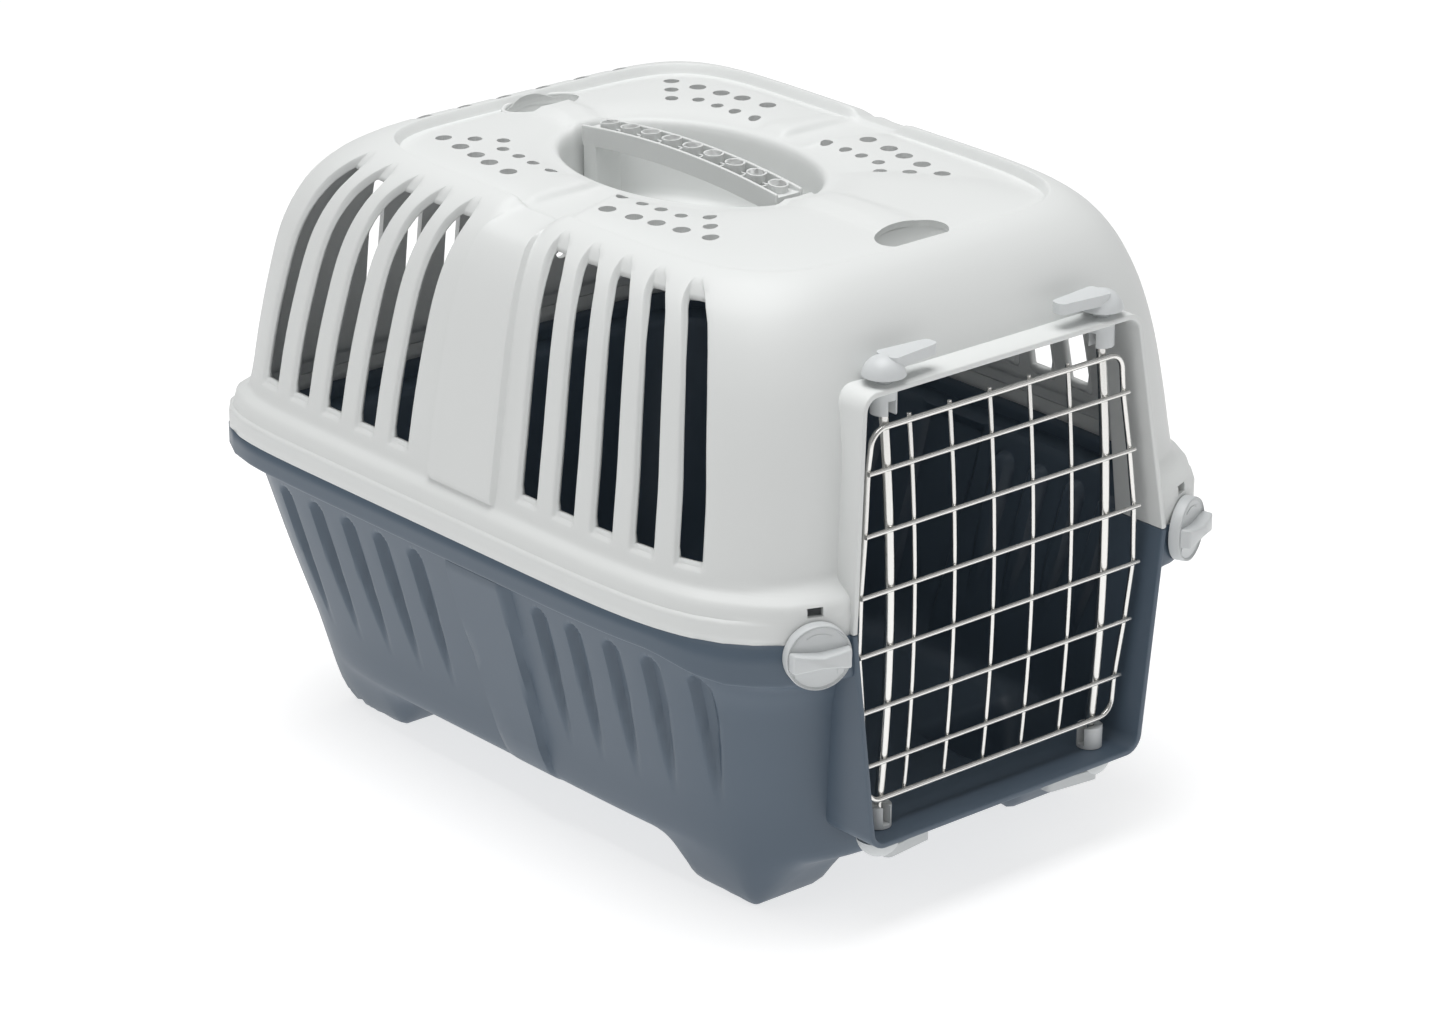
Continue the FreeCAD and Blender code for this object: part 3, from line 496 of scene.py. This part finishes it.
# Six slots in the rear wall of the same moulding; they reach up to the crest.
REAR_SLOT_X = (13.0, 39.0, 65.0)
REAR_SLOT_Y, REAR_SLOT_Z = (155.5, 241.5), (205.0, 330.0)
REAR_SLOT_HALF, REAR_SLOT_ROUND = 4.5, 4.0
rear_bm = bmesh.new()
(rear_y0, rear_y1), (rear_z0, rear_z1) = REAR_SLOT_Y, REAR_SLOT_Z
for x in REAR_SLOT_X:
    for side in (-1, 1):
        at = Matrix.Translation(Vector((side * x, (rear_y0 + rear_y1) / 2, (rear_z0 + rear_z1) / 2)) * MM)
        size = Vector((2 * REAR_SLOT_HALF, rear_y1 - rear_y0, rear_z1 - rear_z0)) * MM
        box = bmesh.ops.create_cube(rear_bm, size=1.0, matrix=at @ Matrix.Diagonal((*size, 1.0)))
        along = [e for e in {e for v in box["verts"] for e in v.link_edges}
                 if abs(e.verts[0].co.y - e.verts[1].co.y) > 0.05]
        bmesh.ops.bevel(rear_bm, geom=along, offset=REAR_SLOT_ROUND * MM, segments=5, profile=0.5,
                        affect="EDGES", material=-1)
carve(top_shell, rear_bm)

# Two scoops in the roof, each with a round bar across it for a strap.
STRAP_Y, STRAP_ROOF_Z = (-143.0, 141.0), 321.0
SCOOP = (22.5, 12.0, 14.0)   # half axes of the scoop
SCOOP_WALL, SCOOP_RIM_UP, SCOOP_RIM_ROUND = 2.4, 1.4, 1.0
for y in STRAP_Y:
    middle = Matrix.Translation(Vector((0, y, STRAP_ROOF_Z)) * MM)
    at = middle @ Matrix.Diagonal((*[v * MM for v in SCOOP], 1.0))
    scoop_bm = bmesh.new()
    bmesh.ops.create_uvsphere(scoop_bm, u_segments=40, v_segments=20, radius=1.0, matrix=at)
    carve(top_shell, scoop_bm)
    bowl_bm = bmesh.new()
    bmesh.ops.create_uvsphere(bowl_bm, u_segments=40, v_segments=20, radius=1.02, matrix=at)
    bmesh.ops.bisect_plane(bowl_bm, geom=bowl_bm.verts[:] + bowl_bm.edges[:] + bowl_bm.faces[:],
                           plane_co=Vector((0, 0, STRAP_ROOF_Z + SCOOP_RIM_UP)) * MM, plane_no=(0, 0, 1),
                           clear_outer=True)
    bmesh.ops.recalc_face_normals(bowl_bm, faces=bowl_bm.faces)
    name = "strap_scoop_front" if y < 0 else "strap_scoop_rear"
    bowl = finished(bowl_bm, name, "lid", pale_polypropylene)
    wall = bowl.modifiers.new("wall", "SOLIDIFY")
    wall.thickness = SCOOP_WALL * MM
    wall.offset = 1.0
    rim = bowl.modifiers.new("rim", "BEVEL")
    rim.width = SCOOP_RIM_ROUND * MM
    rim.segments = 3

# The door collar of the top shell is a thin tube that stands out of the front wall and leans back at the top.
LIP_Y, LIP_TOP_Y = -219.5, -210.5
COLLAR_WALL, COLLAR_EDGE = 3.0, 0.7
COLLAR_BACK_UPPER, COLLAR_BACK_LOWER = -186.0, -182.0


def collar_piece(upper, name, body, material, back_y):
    """Half of the door collar, from its lip to its inner end."""
    bm = doorway(upper, 0.0)
    moved = bmesh.ops.extrude_edge_only(bm, edges=bm.edges[:])["geom"]
    back = [g for g in moved if isinstance(g, bmesh.types.BMVert)]
    front = [v for v in bm.verts if v not in back]
    for v in back:
        v.co.y = back_y * MM
    for v in front:
        lean = max(v.co.z / MM - PARTING_Z, 0.0) / (COLLAR_HALF[-1][0] + COLLAR_WALL - PARTING_Z)
        v.co.y = (LIP_Y + (LIP_TOP_Y - LIP_Y) * lean) * MM
    bmesh.ops.recalc_face_normals(bm, faces=bm.faces)
    middle = Vector((0, 0, PARTING_Z * MM))
    if sum(f.normal.dot(f.calc_center_median() - middle) for f in bm.faces) < 0:
        bmesh.ops.reverse_faces(bm, faces=bm.faces)
    piece = finished(bm, name, body, material)
    wall = piece.modifiers.new("wall", "SOLIDIFY")
    wall.thickness = COLLAR_WALL * MM
    wall.offset = 1.0
    wall.use_quality_normals = True
    edge = piece.modifiers.new("edge", "BEVEL")
    edge.width = COLLAR_EDGE * MM
    edge.segments = 2
    return piece


collar_piece(True, "door_collar_upper", "lid", pale_polypropylene, COLLAR_BACK_UPPER)

# A small window above each side lock lets the hook be seen.
WINDOW_SIZE, WINDOW_Z = (8.0, 26.0, 5.0), 180.5
for side in (-1, 1):
    window = bmesh.new()
    turn = Matrix.Rotation(side * DIAL_TOE, 4, "Z")
    at = Matrix.Translation(Vector((side * DIAL_AT.x, DIAL_AT.y, WINDOW_Z)) * MM) @ turn
    size = Matrix.Diagonal((*[v * MM for v in WINDOW_SIZE], 1.0))
    bmesh.ops.create_cube(window, size=1.0, matrix=at @ size)
    carve(top_shell, window)


# ---------------------------------------------------------------- bottom tray
# The lower half is moulded in blue-grey polypropylene: a rim band, tapering walls with ten soft flutes a side
# and four feet that flow out of the corners.
TRAY_PROFILE = [
    (26.0, 116.0, -177.0, 181.0, 5.5, 7.0), (27.0, 120.5, -181.0, 186.0, 5.5, 7.2),
    (29.5, 125.0, -185.0, 190.0, 5.5, 7.6),
    (34.0, 128.6, -187.6, 192.8, 5.5, 8.0), (60.0, 136.2, -192.0, 197.2, 5.5, 8.4),
    (100.0, 148.0, -199.2, 203.6, 5.5, 8.8),
    (146.0, 161.3, -207.2, 209.7, 5.5, 9.0), (151.2, 162.9, -208.3, 210.8, 5.5, 9.0),
    (151.9, 164.3, -209.4, 212.2, 5.5, 9.0),
    (152.4, 168.6, -212.7, 216.6, 5.5, 9.0), (152.9, 171.9, -215.5, 220.2, 5.5, 9.0),
    (153.7, 173.2, -216.7, 221.7, 5.5, 9.0),
    (154.8, *RIM), (166.0, *RIM)]
FLUTES = (-160.0, -131.0, -104.0, -76.0, -50.0, 50.0, 79.0, 106.0, 134.0, 162.0)
FLUTE_HALF, FLUTE_DEPTH, FLUTE_FIELD = 7.0, 4.6, 13.0
FLUTE_SECTION = (-FLUTE_FIELD, -8.0, -6.5, -5.2, -3.9, -2.6, -1.3, 0.0, 1.3, 2.6, 3.9, 5.2, 6.5, 8.0)
FLUTE_TOP_Z, FLUTE_ARCH, FLUTE_HEAD = 142.0, 6.0, 4.0
TRAY_BAND = (-27.0, 16.0, 4.2)             # front, rear, how far it stands out
TRAY_BAND_TAPER, TRAY_BAND_SOFT = 4.0, 3.0
TRAY_MIDDLE = 37.0                         # half of the field between the two groups of flutes
TRAY_LOW_Z, TRAY_FOOT_Z = 26.0, 60.0
TRAY_SQUEEZE, TRAY_SWELL_Z = 0.94, (136.0, 147.0)
BAND_DIP, BAND_DIP_Y = 9.0, (140.0, 190.0)   # the rim band hangs lower towards the front corners
BAND_DIP_Z = (118.0, 148.0, 155.0, PARTING_Z)
FOOT_X, FOOT_DROP = (48.0, 68.0, 104.0, 126.0), 26.0
FRONT_FOOT_Y, REAR_FOOT_Y = (-176.0, -149.0, -111.0, -90.0), (106.0, 136.0, 180.0, 197.0)

TRAY_END_COLUMNS, UNDER_ROWS = 16, 30
tray_columns = [("front", t / TRAY_END_COLUMNS) for t in range(TRAY_END_COLUMNS)]
for y in FLUTES[:5]:
    tray_columns += [("flute", y, s) for s in FLUTE_SECTION]
tray_columns += [("mid", t) for t in (
    0.0, 0.08, 0.12, 0.15, 0.18, 0.21, 0.3, 0.45, 0.6, 0.68, 0.71, 0.74, 0.77, 0.82, 0.9)]
for y in FLUTES[5:]:
    tray_columns += [("flute", y, s) for s in FLUTE_SECTION]
tray_columns += [("rear", t / TRAY_END_COLUMNS) for t in range(TRAY_END_COLUMNS + 1)]
tray_rows = [("wall", z) for z in (
    166, 160, 156, 155.2, 154.4, 153.8, 153.3, 153, 152.7, 152.4, 151.9, 151.4, 150.4, 149, 146.5, 144, 142,
    140.5, 139, 137, 134.5, 131, 127, 122, 116, 109, 101, 92, 83, 74, 66, 58, 50, 43, 37.5, 34, 31.5, 29.5,
    28, 27, 26.3, 26)]
tray_rows += [("under", (t / UNDER_ROWS) ** 1.05) for t in range(1, UNDER_ROWS + 1)]


def tray_rise(y, z):
    """How far the tray's wall stands out: the middle band, less the flutes."""
    low, high, rise = TRAY_BAND
    shift = TRAY_BAND_TAPER * (1 - ramp(z, 30.0, 140.0))
    soft = TRAY_BAND_SOFT
    across = ramp(y, low + shift - soft, low + shift) * (1 - ramp(y, high - shift, high - shift + soft))
    value = rise * across * ramp(z, 24.0, 50.0) * (1 - ramp(z, 148.0, 152.0))
    if 70.0 > z:
        return value
    for centre in FLUTES:
        s = abs(y - centre) / (FLUTE_HALF * (0.35 + 0.65 * ramp(z, 60.0, 125.0)))
        if s < 1.2:
            top = FLUTE_TOP_Z - FLUTE_ARCH * min(s, 1.0) ** 2.5
            trough = 1 - ramp(s, 0.35, 1.0)
            value -= FLUTE_DEPTH * trough * ramp(-z, -top, -top + FLUTE_HEAD) * ramp(z, 62.0, 100.0)
    return value


def tray_side(column, z):
    """Point of the tray's wall at a level."""
    section = eased(TRAY_PROFILE, z)
    lean = lean_at(TRAY_PROFILE, z, 0.4, TRAY_LOW_Z, PARTING_Z)
    squeeze = TRAY_SQUEEZE + (1 - TRAY_SQUEEZE) * ramp(z, 30.0, 140.0)
    kind = column[0]
    if kind == "front":
        start = turn_at(section, CENTRE_Y + (FLUTES[0] - FLUTE_FIELD - CENTRE_Y) * squeeze)
        point, out = outline_point(section, turn=-math.pi / 2 + (start + math.pi / 2) * column[1])
    elif kind == "rear":
        start = turn_at(section, CENTRE_Y + (FLUTES[-1] + FLUTE_FIELD - CENTRE_Y) * squeeze)
        point, out = outline_point(section, turn=start + (math.pi / 2 - start) * column[1])
    else:
        y = column[1] + column[2] if kind == "flute" else TRAY_MIDDLE * (2 * column[1] - 1)
        y = CENTRE_Y + (y - CENTRE_Y) * squeeze
        point, out = outline_point(section, y=y)
    lift = tray_rise(CENTRE_Y + (point.y - CENTRE_Y) / squeeze, z) if kind in ("flute", "mid") else 0.0
    normal = (out + Vector((0, 0, -lean))).normalized()
    point.z = z
    point += normal * lift
    start, full, fading, gone = BAND_DIP_Z
    point.z -= BAND_DIP * ramp(-point.y, *BAND_DIP_Y) * ramp(z, start, full) * (1 - ramp(z, fading, gone))
    return point + corner_swell(point) * ramp(point.z, *TRAY_SWELL_Z)


def foot_drop(point):
    """How far the underside is drawn down to make a foot."""
    def hump(value, a, b, c, d):
        return ramp(value, a, b) * (1 - ramp(value, c, d))
    lengthwise = FRONT_FOOT_Y if point.y < 0 else REAR_FOOT_Y
    return FOOT_DROP * hump(abs(point.x), *FOOT_X) * hump(point.y, *lengthwise)


def tray_place(column, row):
    """Point of the tray: on its wall, or under its floor."""
    if row[0] == "wall":
        point = tray_side(column, row[1])
        if row[1] < TRAY_FOOT_Z:
            point.z -= foot_drop(point) * (1 - ramp(row[1], TRAY_LOW_Z, TRAY_FOOT_Z))
        return point
    edge = tray_side(column, TRAY_LOW_Z)
    t = row[1]
    point = Vector((edge.x * (1 - t), CENTRE_Y + (edge.y - CENTRE_Y) * (1 - 0.3 * t * t), TRAY_LOW_Z))
    point.z -= foot_drop(point)
    return point


blue_polypropylene = moulded("blue_grey_polypropylene_satin", "#505E6C", 0.42, 0.9, 0.05)
TRAY_WALL = 3.0
tray_bm = half_grid(tray_columns, tray_rows, tray_place, lambda *corners: False)
tray = finished(tray_bm, "tray_moulding", "tray", blue_polypropylene)
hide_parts("bottom_tray")
walled(tray, TRAY_WALL)
carve(tray, doorway_cutter(False))
collar_piece(False, "door_collar_lower", "tray", blue_polypropylene, COLLAR_BACK_LOWER)


# ---------------------------------------------------------------- carry handle
# The grip is an arched lattice in the pale polypropylene: two thin rails, a skin under them, nine round ring
# bosses on a middle web, and a post at each end that stands on the floor of the well.
GRIP_HALF_L, GRIP_TOP, GRIP_RISE = 76.0, 327.4, 5.0
GRIP_SECTION = ((8.9, 0.0), (7.2, 0.0), (7.0, -9.4), (-7.0, -9.4),
                (-7.2, 0.0), (-8.9, 0.0), (-8.6, -11.0), (8.6, -11.0))
GRIP_STEPS, GRIP_EDGE = 24, 0.5
RING_COUNT, RING_PITCH, RING_R, RING_WALL, RING_H = 9, 16.4, 5.2, 1.0, 10.4
RING_SHIFT, RING_PROUD = 2.0, 1.3          # forward along the grip, and above its rails
WEB_HALF, WEB_DROP, WEB_DEPTH = 0.6, 2.2, 8.0
CROSS_HALF_W, CROSS_DROP = 7.4, 0.4
POST_HALF_W, POST_INNER, POST_OUTER, POST_EDGE = 8.7, 11.0, 0.5, 1.5
POST_Z, POST_UNDER_TOP = 277.0, 2.0


def grip_drop(y):
    """How far the arch has fallen at a distance from the middle of the grip."""
    return GRIP_RISE * ((y - WELL_Y) / GRIP_HALF_L) ** 2


def add_block(bm, x0, x1, y0, y1, z0, z1):
    """Plain block between two corners."""
    centre = Vector(((x0 + x1) / 2, (y0 + y1) / 2, (z0 + z1) / 2)) * MM
    size = Matrix.Diagonal(((x1 - x0) * MM, (y1 - y0) * MM, (z1 - z0) * MM, 1.0))
    return bmesh.ops.create_cube(bm, size=1.0, matrix=Matrix.Translation(centre) @ size)["verts"]


grip_bm = bmesh.new()
start_y = WELL_Y - GRIP_HALF_L
ring = [grip_bm.verts.new(Vector((x, start_y, GRIP_TOP + z)) * MM) for x, z in GRIP_SECTION]
grip_faces = [grip_bm.faces.new(ring)]
for i in range(GRIP_STEPS):
    moved = bmesh.ops.extrude_face_region(grip_bm, geom=grip_faces)["geom"]
    if i:
        bmesh.ops.delete(grip_bm, geom=grip_faces, context="FACES_ONLY")
    grip_faces = [g for g in moved if isinstance(g, bmesh.types.BMFace)]
    bmesh.ops.translate(grip_bm, vec=(0, 2 * GRIP_HALF_L / GRIP_STEPS * MM, 0),
                        verts=[g for g in moved if isinstance(g, bmesh.types.BMVert)])
for v in grip_bm.verts:
    v.co.z -= grip_drop(v.co.y / MM) * MM
bmesh.ops.recalc_face_normals(grip_bm, faces=grip_bm.faces)
grip = finished(grip_bm, "carry_handle_rails", "lid", pale_polypropylene)
grip_edge = grip.modifiers.new("edge", "BEVEL")
grip_edge.width = GRIP_EDGE * MM
grip_edge.segments = 2

ring_bm = bmesh.new()
for k in range(RING_COUNT):
    y = WELL_Y - RING_SHIFT + (k - (RING_COUNT - 1) / 2) * RING_PITCH
    top = GRIP_TOP - grip_drop(y) + RING_PROUD
    mid_z = top - RING_H / 2
    at = Matrix.Translation(Vector((0, y, mid_z)) * MM)
    outer, inner = (bmesh.ops.create_cone(ring_bm, cap_ends=False, segments=32, radius1=radius * MM,
                                          radius2=radius * MM, depth=RING_H * MM, matrix=at)["verts"]
                    for radius in (RING_R, RING_R - RING_WALL))
    rims = [e for e in {e for v in outer + inner for e in v.link_edges} if len(e.link_faces) == 1]
    for low in (True, False):
        bmesh.ops.bridge_loops(ring_bm, edges=[e for e in rims if (e.verts[0].co.z < mid_z * MM) == low])
    bmesh.ops.rotate(ring_bm, cent=Vector((0, y, top)) * MM, verts=outer + inner,
                     matrix=Matrix.Rotation(-2 * GRIP_RISE * (y - WELL_Y) / GRIP_HALF_L ** 2, 3, "X"))
    if k:
        low_y, high_y = y - RING_PITCH + RING_R - WEB_HALF, y - RING_R + WEB_HALF
        middle = (low_y + high_y) / 2
        level = GRIP_TOP - grip_drop(middle) - WEB_DROP
        add_block(ring_bm, -WEB_HALF, WEB_HALF, low_y, high_y, level - WEB_DEPTH, level)
        add_block(ring_bm, -CROSS_HALF_W, CROSS_HALF_W, middle - WEB_HALF, middle + WEB_HALF,
                  level - WEB_DEPTH, level - CROSS_DROP)
bmesh.ops.recalc_face_normals(ring_bm, faces=ring_bm.faces)
finished(ring_bm, "carry_handle_rings", "lid", pale_polypropylene)

post_bm = bmesh.new()
for side in (-1, 1):
    y0, y1 = sorted(WELL_Y + side * (GRIP_HALF_L - inset) for inset in (POST_INNER, POST_OUTER))
    add_block(post_bm, -POST_HALF_W, POST_HALF_W, y0, y1, POST_Z, GRIP_TOP - GRIP_RISE - POST_UNDER_TOP)
post_edges = [e for e in post_bm.edges if abs(e.verts[0].co.z - e.verts[1].co.z) > 0.01]
bmesh.ops.bevel(post_bm, geom=post_edges, offset=POST_EDGE * MM, segments=3, profile=0.5, affect="EDGES",
                material=-1)
finished(post_bm, "carry_handle_posts", "lid", pale_polypropylene)
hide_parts("carry_handle")


# ---------------------------------------------------------------- side locks
# Each lock is a round knob in light grey plastic with a thin raised rim and a waisted grip bar across it.
# Small padlock marks and an arc are raised on its face, as moulded.
light_grey_plastic = moulded("light_grey_acetal_satin", "#CDD0D1", 0.36, 0.6, 0.03)
DIAL_R, DIAL_THICK, DIAL_GAP = 16.5, 6.0, 0.5
DIAL_RIM, DIAL_RIM_SLOPE, DIAL_SUNK, DIAL_ROUND = 1.3, 0.4, 0.7, 1.0
RIM_FROM_R = 15.9                                     # edges further out than this belong to the rim
GRIP_BAR = ((15.4, 5.0), (9.0, 3.9), (0.0, 2.9))      # half length and half width, end to middle
BAR_SUNK, BAR_HEIGHT, BAR_BOW, BAR_TAPER, BAR_ROUND = 0.6, 7.6, 1.6, 0.93, 1.1
MARK_SUNK, MARK_PROUD = 0.3, 0.15
PADLOCK_X = 10.6
PADLOCK = ((-1.5, 1.5, -9.2, -6.6), (-1.0, -0.6, -6.6, -5.4), (0.6, 1.0, -6.6, -5.4), (-1.0, 1.0, -5.6, -5.2))
ARC_R, ARC_START, ARC_STEP, ARC_COUNT = 11.8, 60, 5, 13
ARC_HALF_X, ARC_HALF_Z = 0.55, 0.3


def mark_box(bm, x0, x1, z0, z1):
    """Thin raised mark on the face of a lock, in its own frame."""
    add_block(bm, x0, x1, -(DIAL_THICK + MARK_PROUD), -(DIAL_THICK - MARK_SUNK), z0, z1)


def side_lock(side, word):
    """Knob of one side lock, made facing -Y and then turned and moved to its place."""
    bm = bmesh.new()
    facing = Matrix.Rotation(math.radians(90), 4, "X")
    at = Matrix.Translation(Vector((0, -(DIAL_GAP + DIAL_THICK / 2), 0)) * MM) @ facing
    bmesh.ops.create_cone(bm, cap_ends=True, segments=72, radius1=DIAL_R * MM, radius2=DIAL_R * MM,
                          depth=DIAL_THICK * MM, matrix=at)
    front = min(bm.faces, key=lambda f: f.calc_center_median().y)
    bmesh.ops.inset_individual(bm, faces=[front], thickness=DIAL_RIM * MM, depth=0.0)
    bmesh.ops.inset_individual(bm, faces=[front], thickness=DIAL_RIM_SLOPE * MM, depth=-DIAL_SUNK * MM)
    rim_y = -(DIAL_GAP + DIAL_THICK) * MM
    outer = [e for e in bm.edges
             if all(abs(v.co.y - rim_y) < 1e-5 and v.co.length > RIM_FROM_R * MM for v in e.verts)]
    bmesh.ops.bevel(bm, geom=outer, offset=DIAL_ROUND * MM, segments=3, profile=0.5, affect="EDGES",
                    material=-1)
    upper = list(GRIP_BAR) + [(-x, z) for x, z in reversed(GRIP_BAR[:-1])]
    corners = upper + [(x, -z) for x, z in reversed(upper)]
    base = [bm.verts.new(Vector((x, -DIAL_THICK + BAR_SUNK, z)) * MM) for x, z in corners]
    bar = bm.faces.new(base)
    moved = bmesh.ops.extrude_face_region(bm, geom=[bar])["geom"]
    top = [g for g in moved if isinstance(g, bmesh.types.BMVert)]
    bmesh.ops.translate(bm, vec=(0, -BAR_HEIGHT * MM, 0), verts=top)
    for v in top:
        v.co.x *= BAR_TAPER
        v.co.y += BAR_BOW * MM * (v.co.x / (GRIP_BAR[0][0] * MM)) ** 2
    edges = [e for e in bm.edges if all(v in top for v in e.verts)]
    edges += [e for e in bm.edges if (e.verts[0] in top) != (e.verts[1] in top)
              and abs(e.verts[0].co.x) > 13 * MM]
    bmesh.ops.bevel(bm, geom=edges, offset=BAR_ROUND * MM, segments=4, profile=0.5, affect="EDGES",
                    material=-1)
    for x in (-PADLOCK_X, PADLOCK_X):
        for x0, x1, z0, z1 in PADLOCK:
            mark_box(bm, x + x0, x + x1, z0, z1)
    for step in range(ARC_COUNT):
        angle = math.radians(ARC_START + ARC_STEP * step)
        x, z = ARC_R * math.cos(angle), ARC_R * math.sin(angle)
        mark_box(bm, x - ARC_HALF_X, x + ARC_HALF_X, z - ARC_HALF_Z, z + ARC_HALF_Z)
    bmesh.ops.recalc_face_normals(bm, faces=bm.faces)
    turn = Matrix.Rotation(side * DIAL_TOE, 4, "Z")
    place = Matrix.Translation(Vector((side * DIAL_AT.x, DIAL_AT.y, DIAL_AT.z)) * MM) @ turn
    bm.transform(place)
    knob = finished(bm, "side_lock_knob_" + word, "side_lock_" + word, light_grey_plastic)
    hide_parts("side_dial_" + word)


side_lock(-1, "left")
side_lock(1, "right")


# ---------------------------------------------------------------- fittings and wires
# The strap bars have the colour of the top shell; the latches and the cams of the side locks are moulded in
# the light grey plastic of the knobs. The door is welded from steel wire and nickel plated.
nickel = bpy.data.materials.new("bright_nickel_plated_steel")
nickel.use_nodes = True
nickel.node_tree.nodes.clear()
nickel_surface = add_node(nickel, "ShaderNodeBsdfPrincipled",
                          {"Base Color": srgb("#E3E2DF"), "Metallic": 1.0, "Roughness": 0.24})
add_node(nickel, "ShaderNodeOutputMaterial", {}, {"Surface": nickel_surface.outputs["BSDF"]})

for name, node in nodes.items():
    if name in ("top_shell", "bottom_tray", "carry_handle", "side_dial_left", "side_dial_right"):
        continue
    material = light_grey_plastic
    if name.startswith("door_"):
        material = nickel
    elif name in ("strap_bar_front", "strap_bar_rear"):
        material = pale_polypropylene
    node.data.materials.clear()
    node.data.materials.append(material)
    node.data.shade_smooth()
    node.data.set_sharp_from_angle(angle=math.radians(30))


# ---------------------------------------------------------------- studio
# A pale seamless floor, a broad soft light from above, and two weaker ones from the front and the left.
bpy.ops.mesh.primitive_plane_add(size=14)
floor = bpy.context.object
floor.name = "studio_floor"
floor_paint = bpy.data.materials.new("white_seamless_paper")
floor_paint.use_nodes = True
floor_paint.node_tree.nodes.clear()
floor_surface = add_node(floor_paint, "ShaderNodeBsdfPrincipled",
                         {"Base Color": srgb("#BFBFBF"), "Roughness": 0.9,
                          "Emission Color": srgb("#FFFFFF"), "Emission Strength": 0.7})
add_node(floor_paint, "ShaderNodeOutputMaterial", {}, {"Surface": floor_surface.outputs["BSDF"]})
floor.data.materials.append(floor_paint)
floor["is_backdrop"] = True

world = bpy.data.worlds.new("white_studio")
bpy.context.scene.world = world
world.use_nodes = True
world.node_tree.nodes["Background"].inputs["Color"].default_value = (1, 1, 1, 1)
world.node_tree.nodes["Background"].inputs["Strength"].default_value = 0.3

LAMPS = (("top_softbox", (-0.2, 0.0, 2.2), (0.0, 0.0, 0.1), 1.8, 42.0),
         ("front_softbox", (1.6, -2.2, 1.4), (0.0, 0.0, 0.15), 1.2, 2.4),
         ("left_softbox", (-2.6, -0.4, 1.5), (0.0, 0.0, 0.15), 1.4, 2.0))
for name, place, aim, size, power in LAMPS:
    lamp = bpy.data.lights.new(name, "AREA")
    lamp.size = size
    lamp.energy = power
    holder = bpy.data.objects.new(name, lamp)
    bpy.context.scene.collection.objects.link(holder)
    holder.location = place
    holder.rotation_mode = "QUATERNION"
    holder.rotation_quaternion = (Vector(aim) - Vector(place)).to_track_quat("-Z", "Y")
    holder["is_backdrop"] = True

camera = bpy.data.cameras.new("camera")
camera.lens = 124.67
camera.sensor_width = 36.0
camera_holder = bpy.data.objects.new("camera", camera)
bpy.context.scene.collection.objects.link(camera_holder)
forward = Vector((0.6038, 0.7045, -0.3730)).normalized()
right = Vector((0.7593, -0.6508, 0.0)).normalized()
up = right.cross(forward)
turned = Matrix((right, up, -forward)).transposed()
camera_holder.matrix_world = Matrix.Translation((-1.5577, -1.8206, 1.0962)) @ turned.to_4x4()
bpy.context.scene.camera = camera_holder
bpy.context.scene.view_settings.view_transform = "Standard"

low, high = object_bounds()
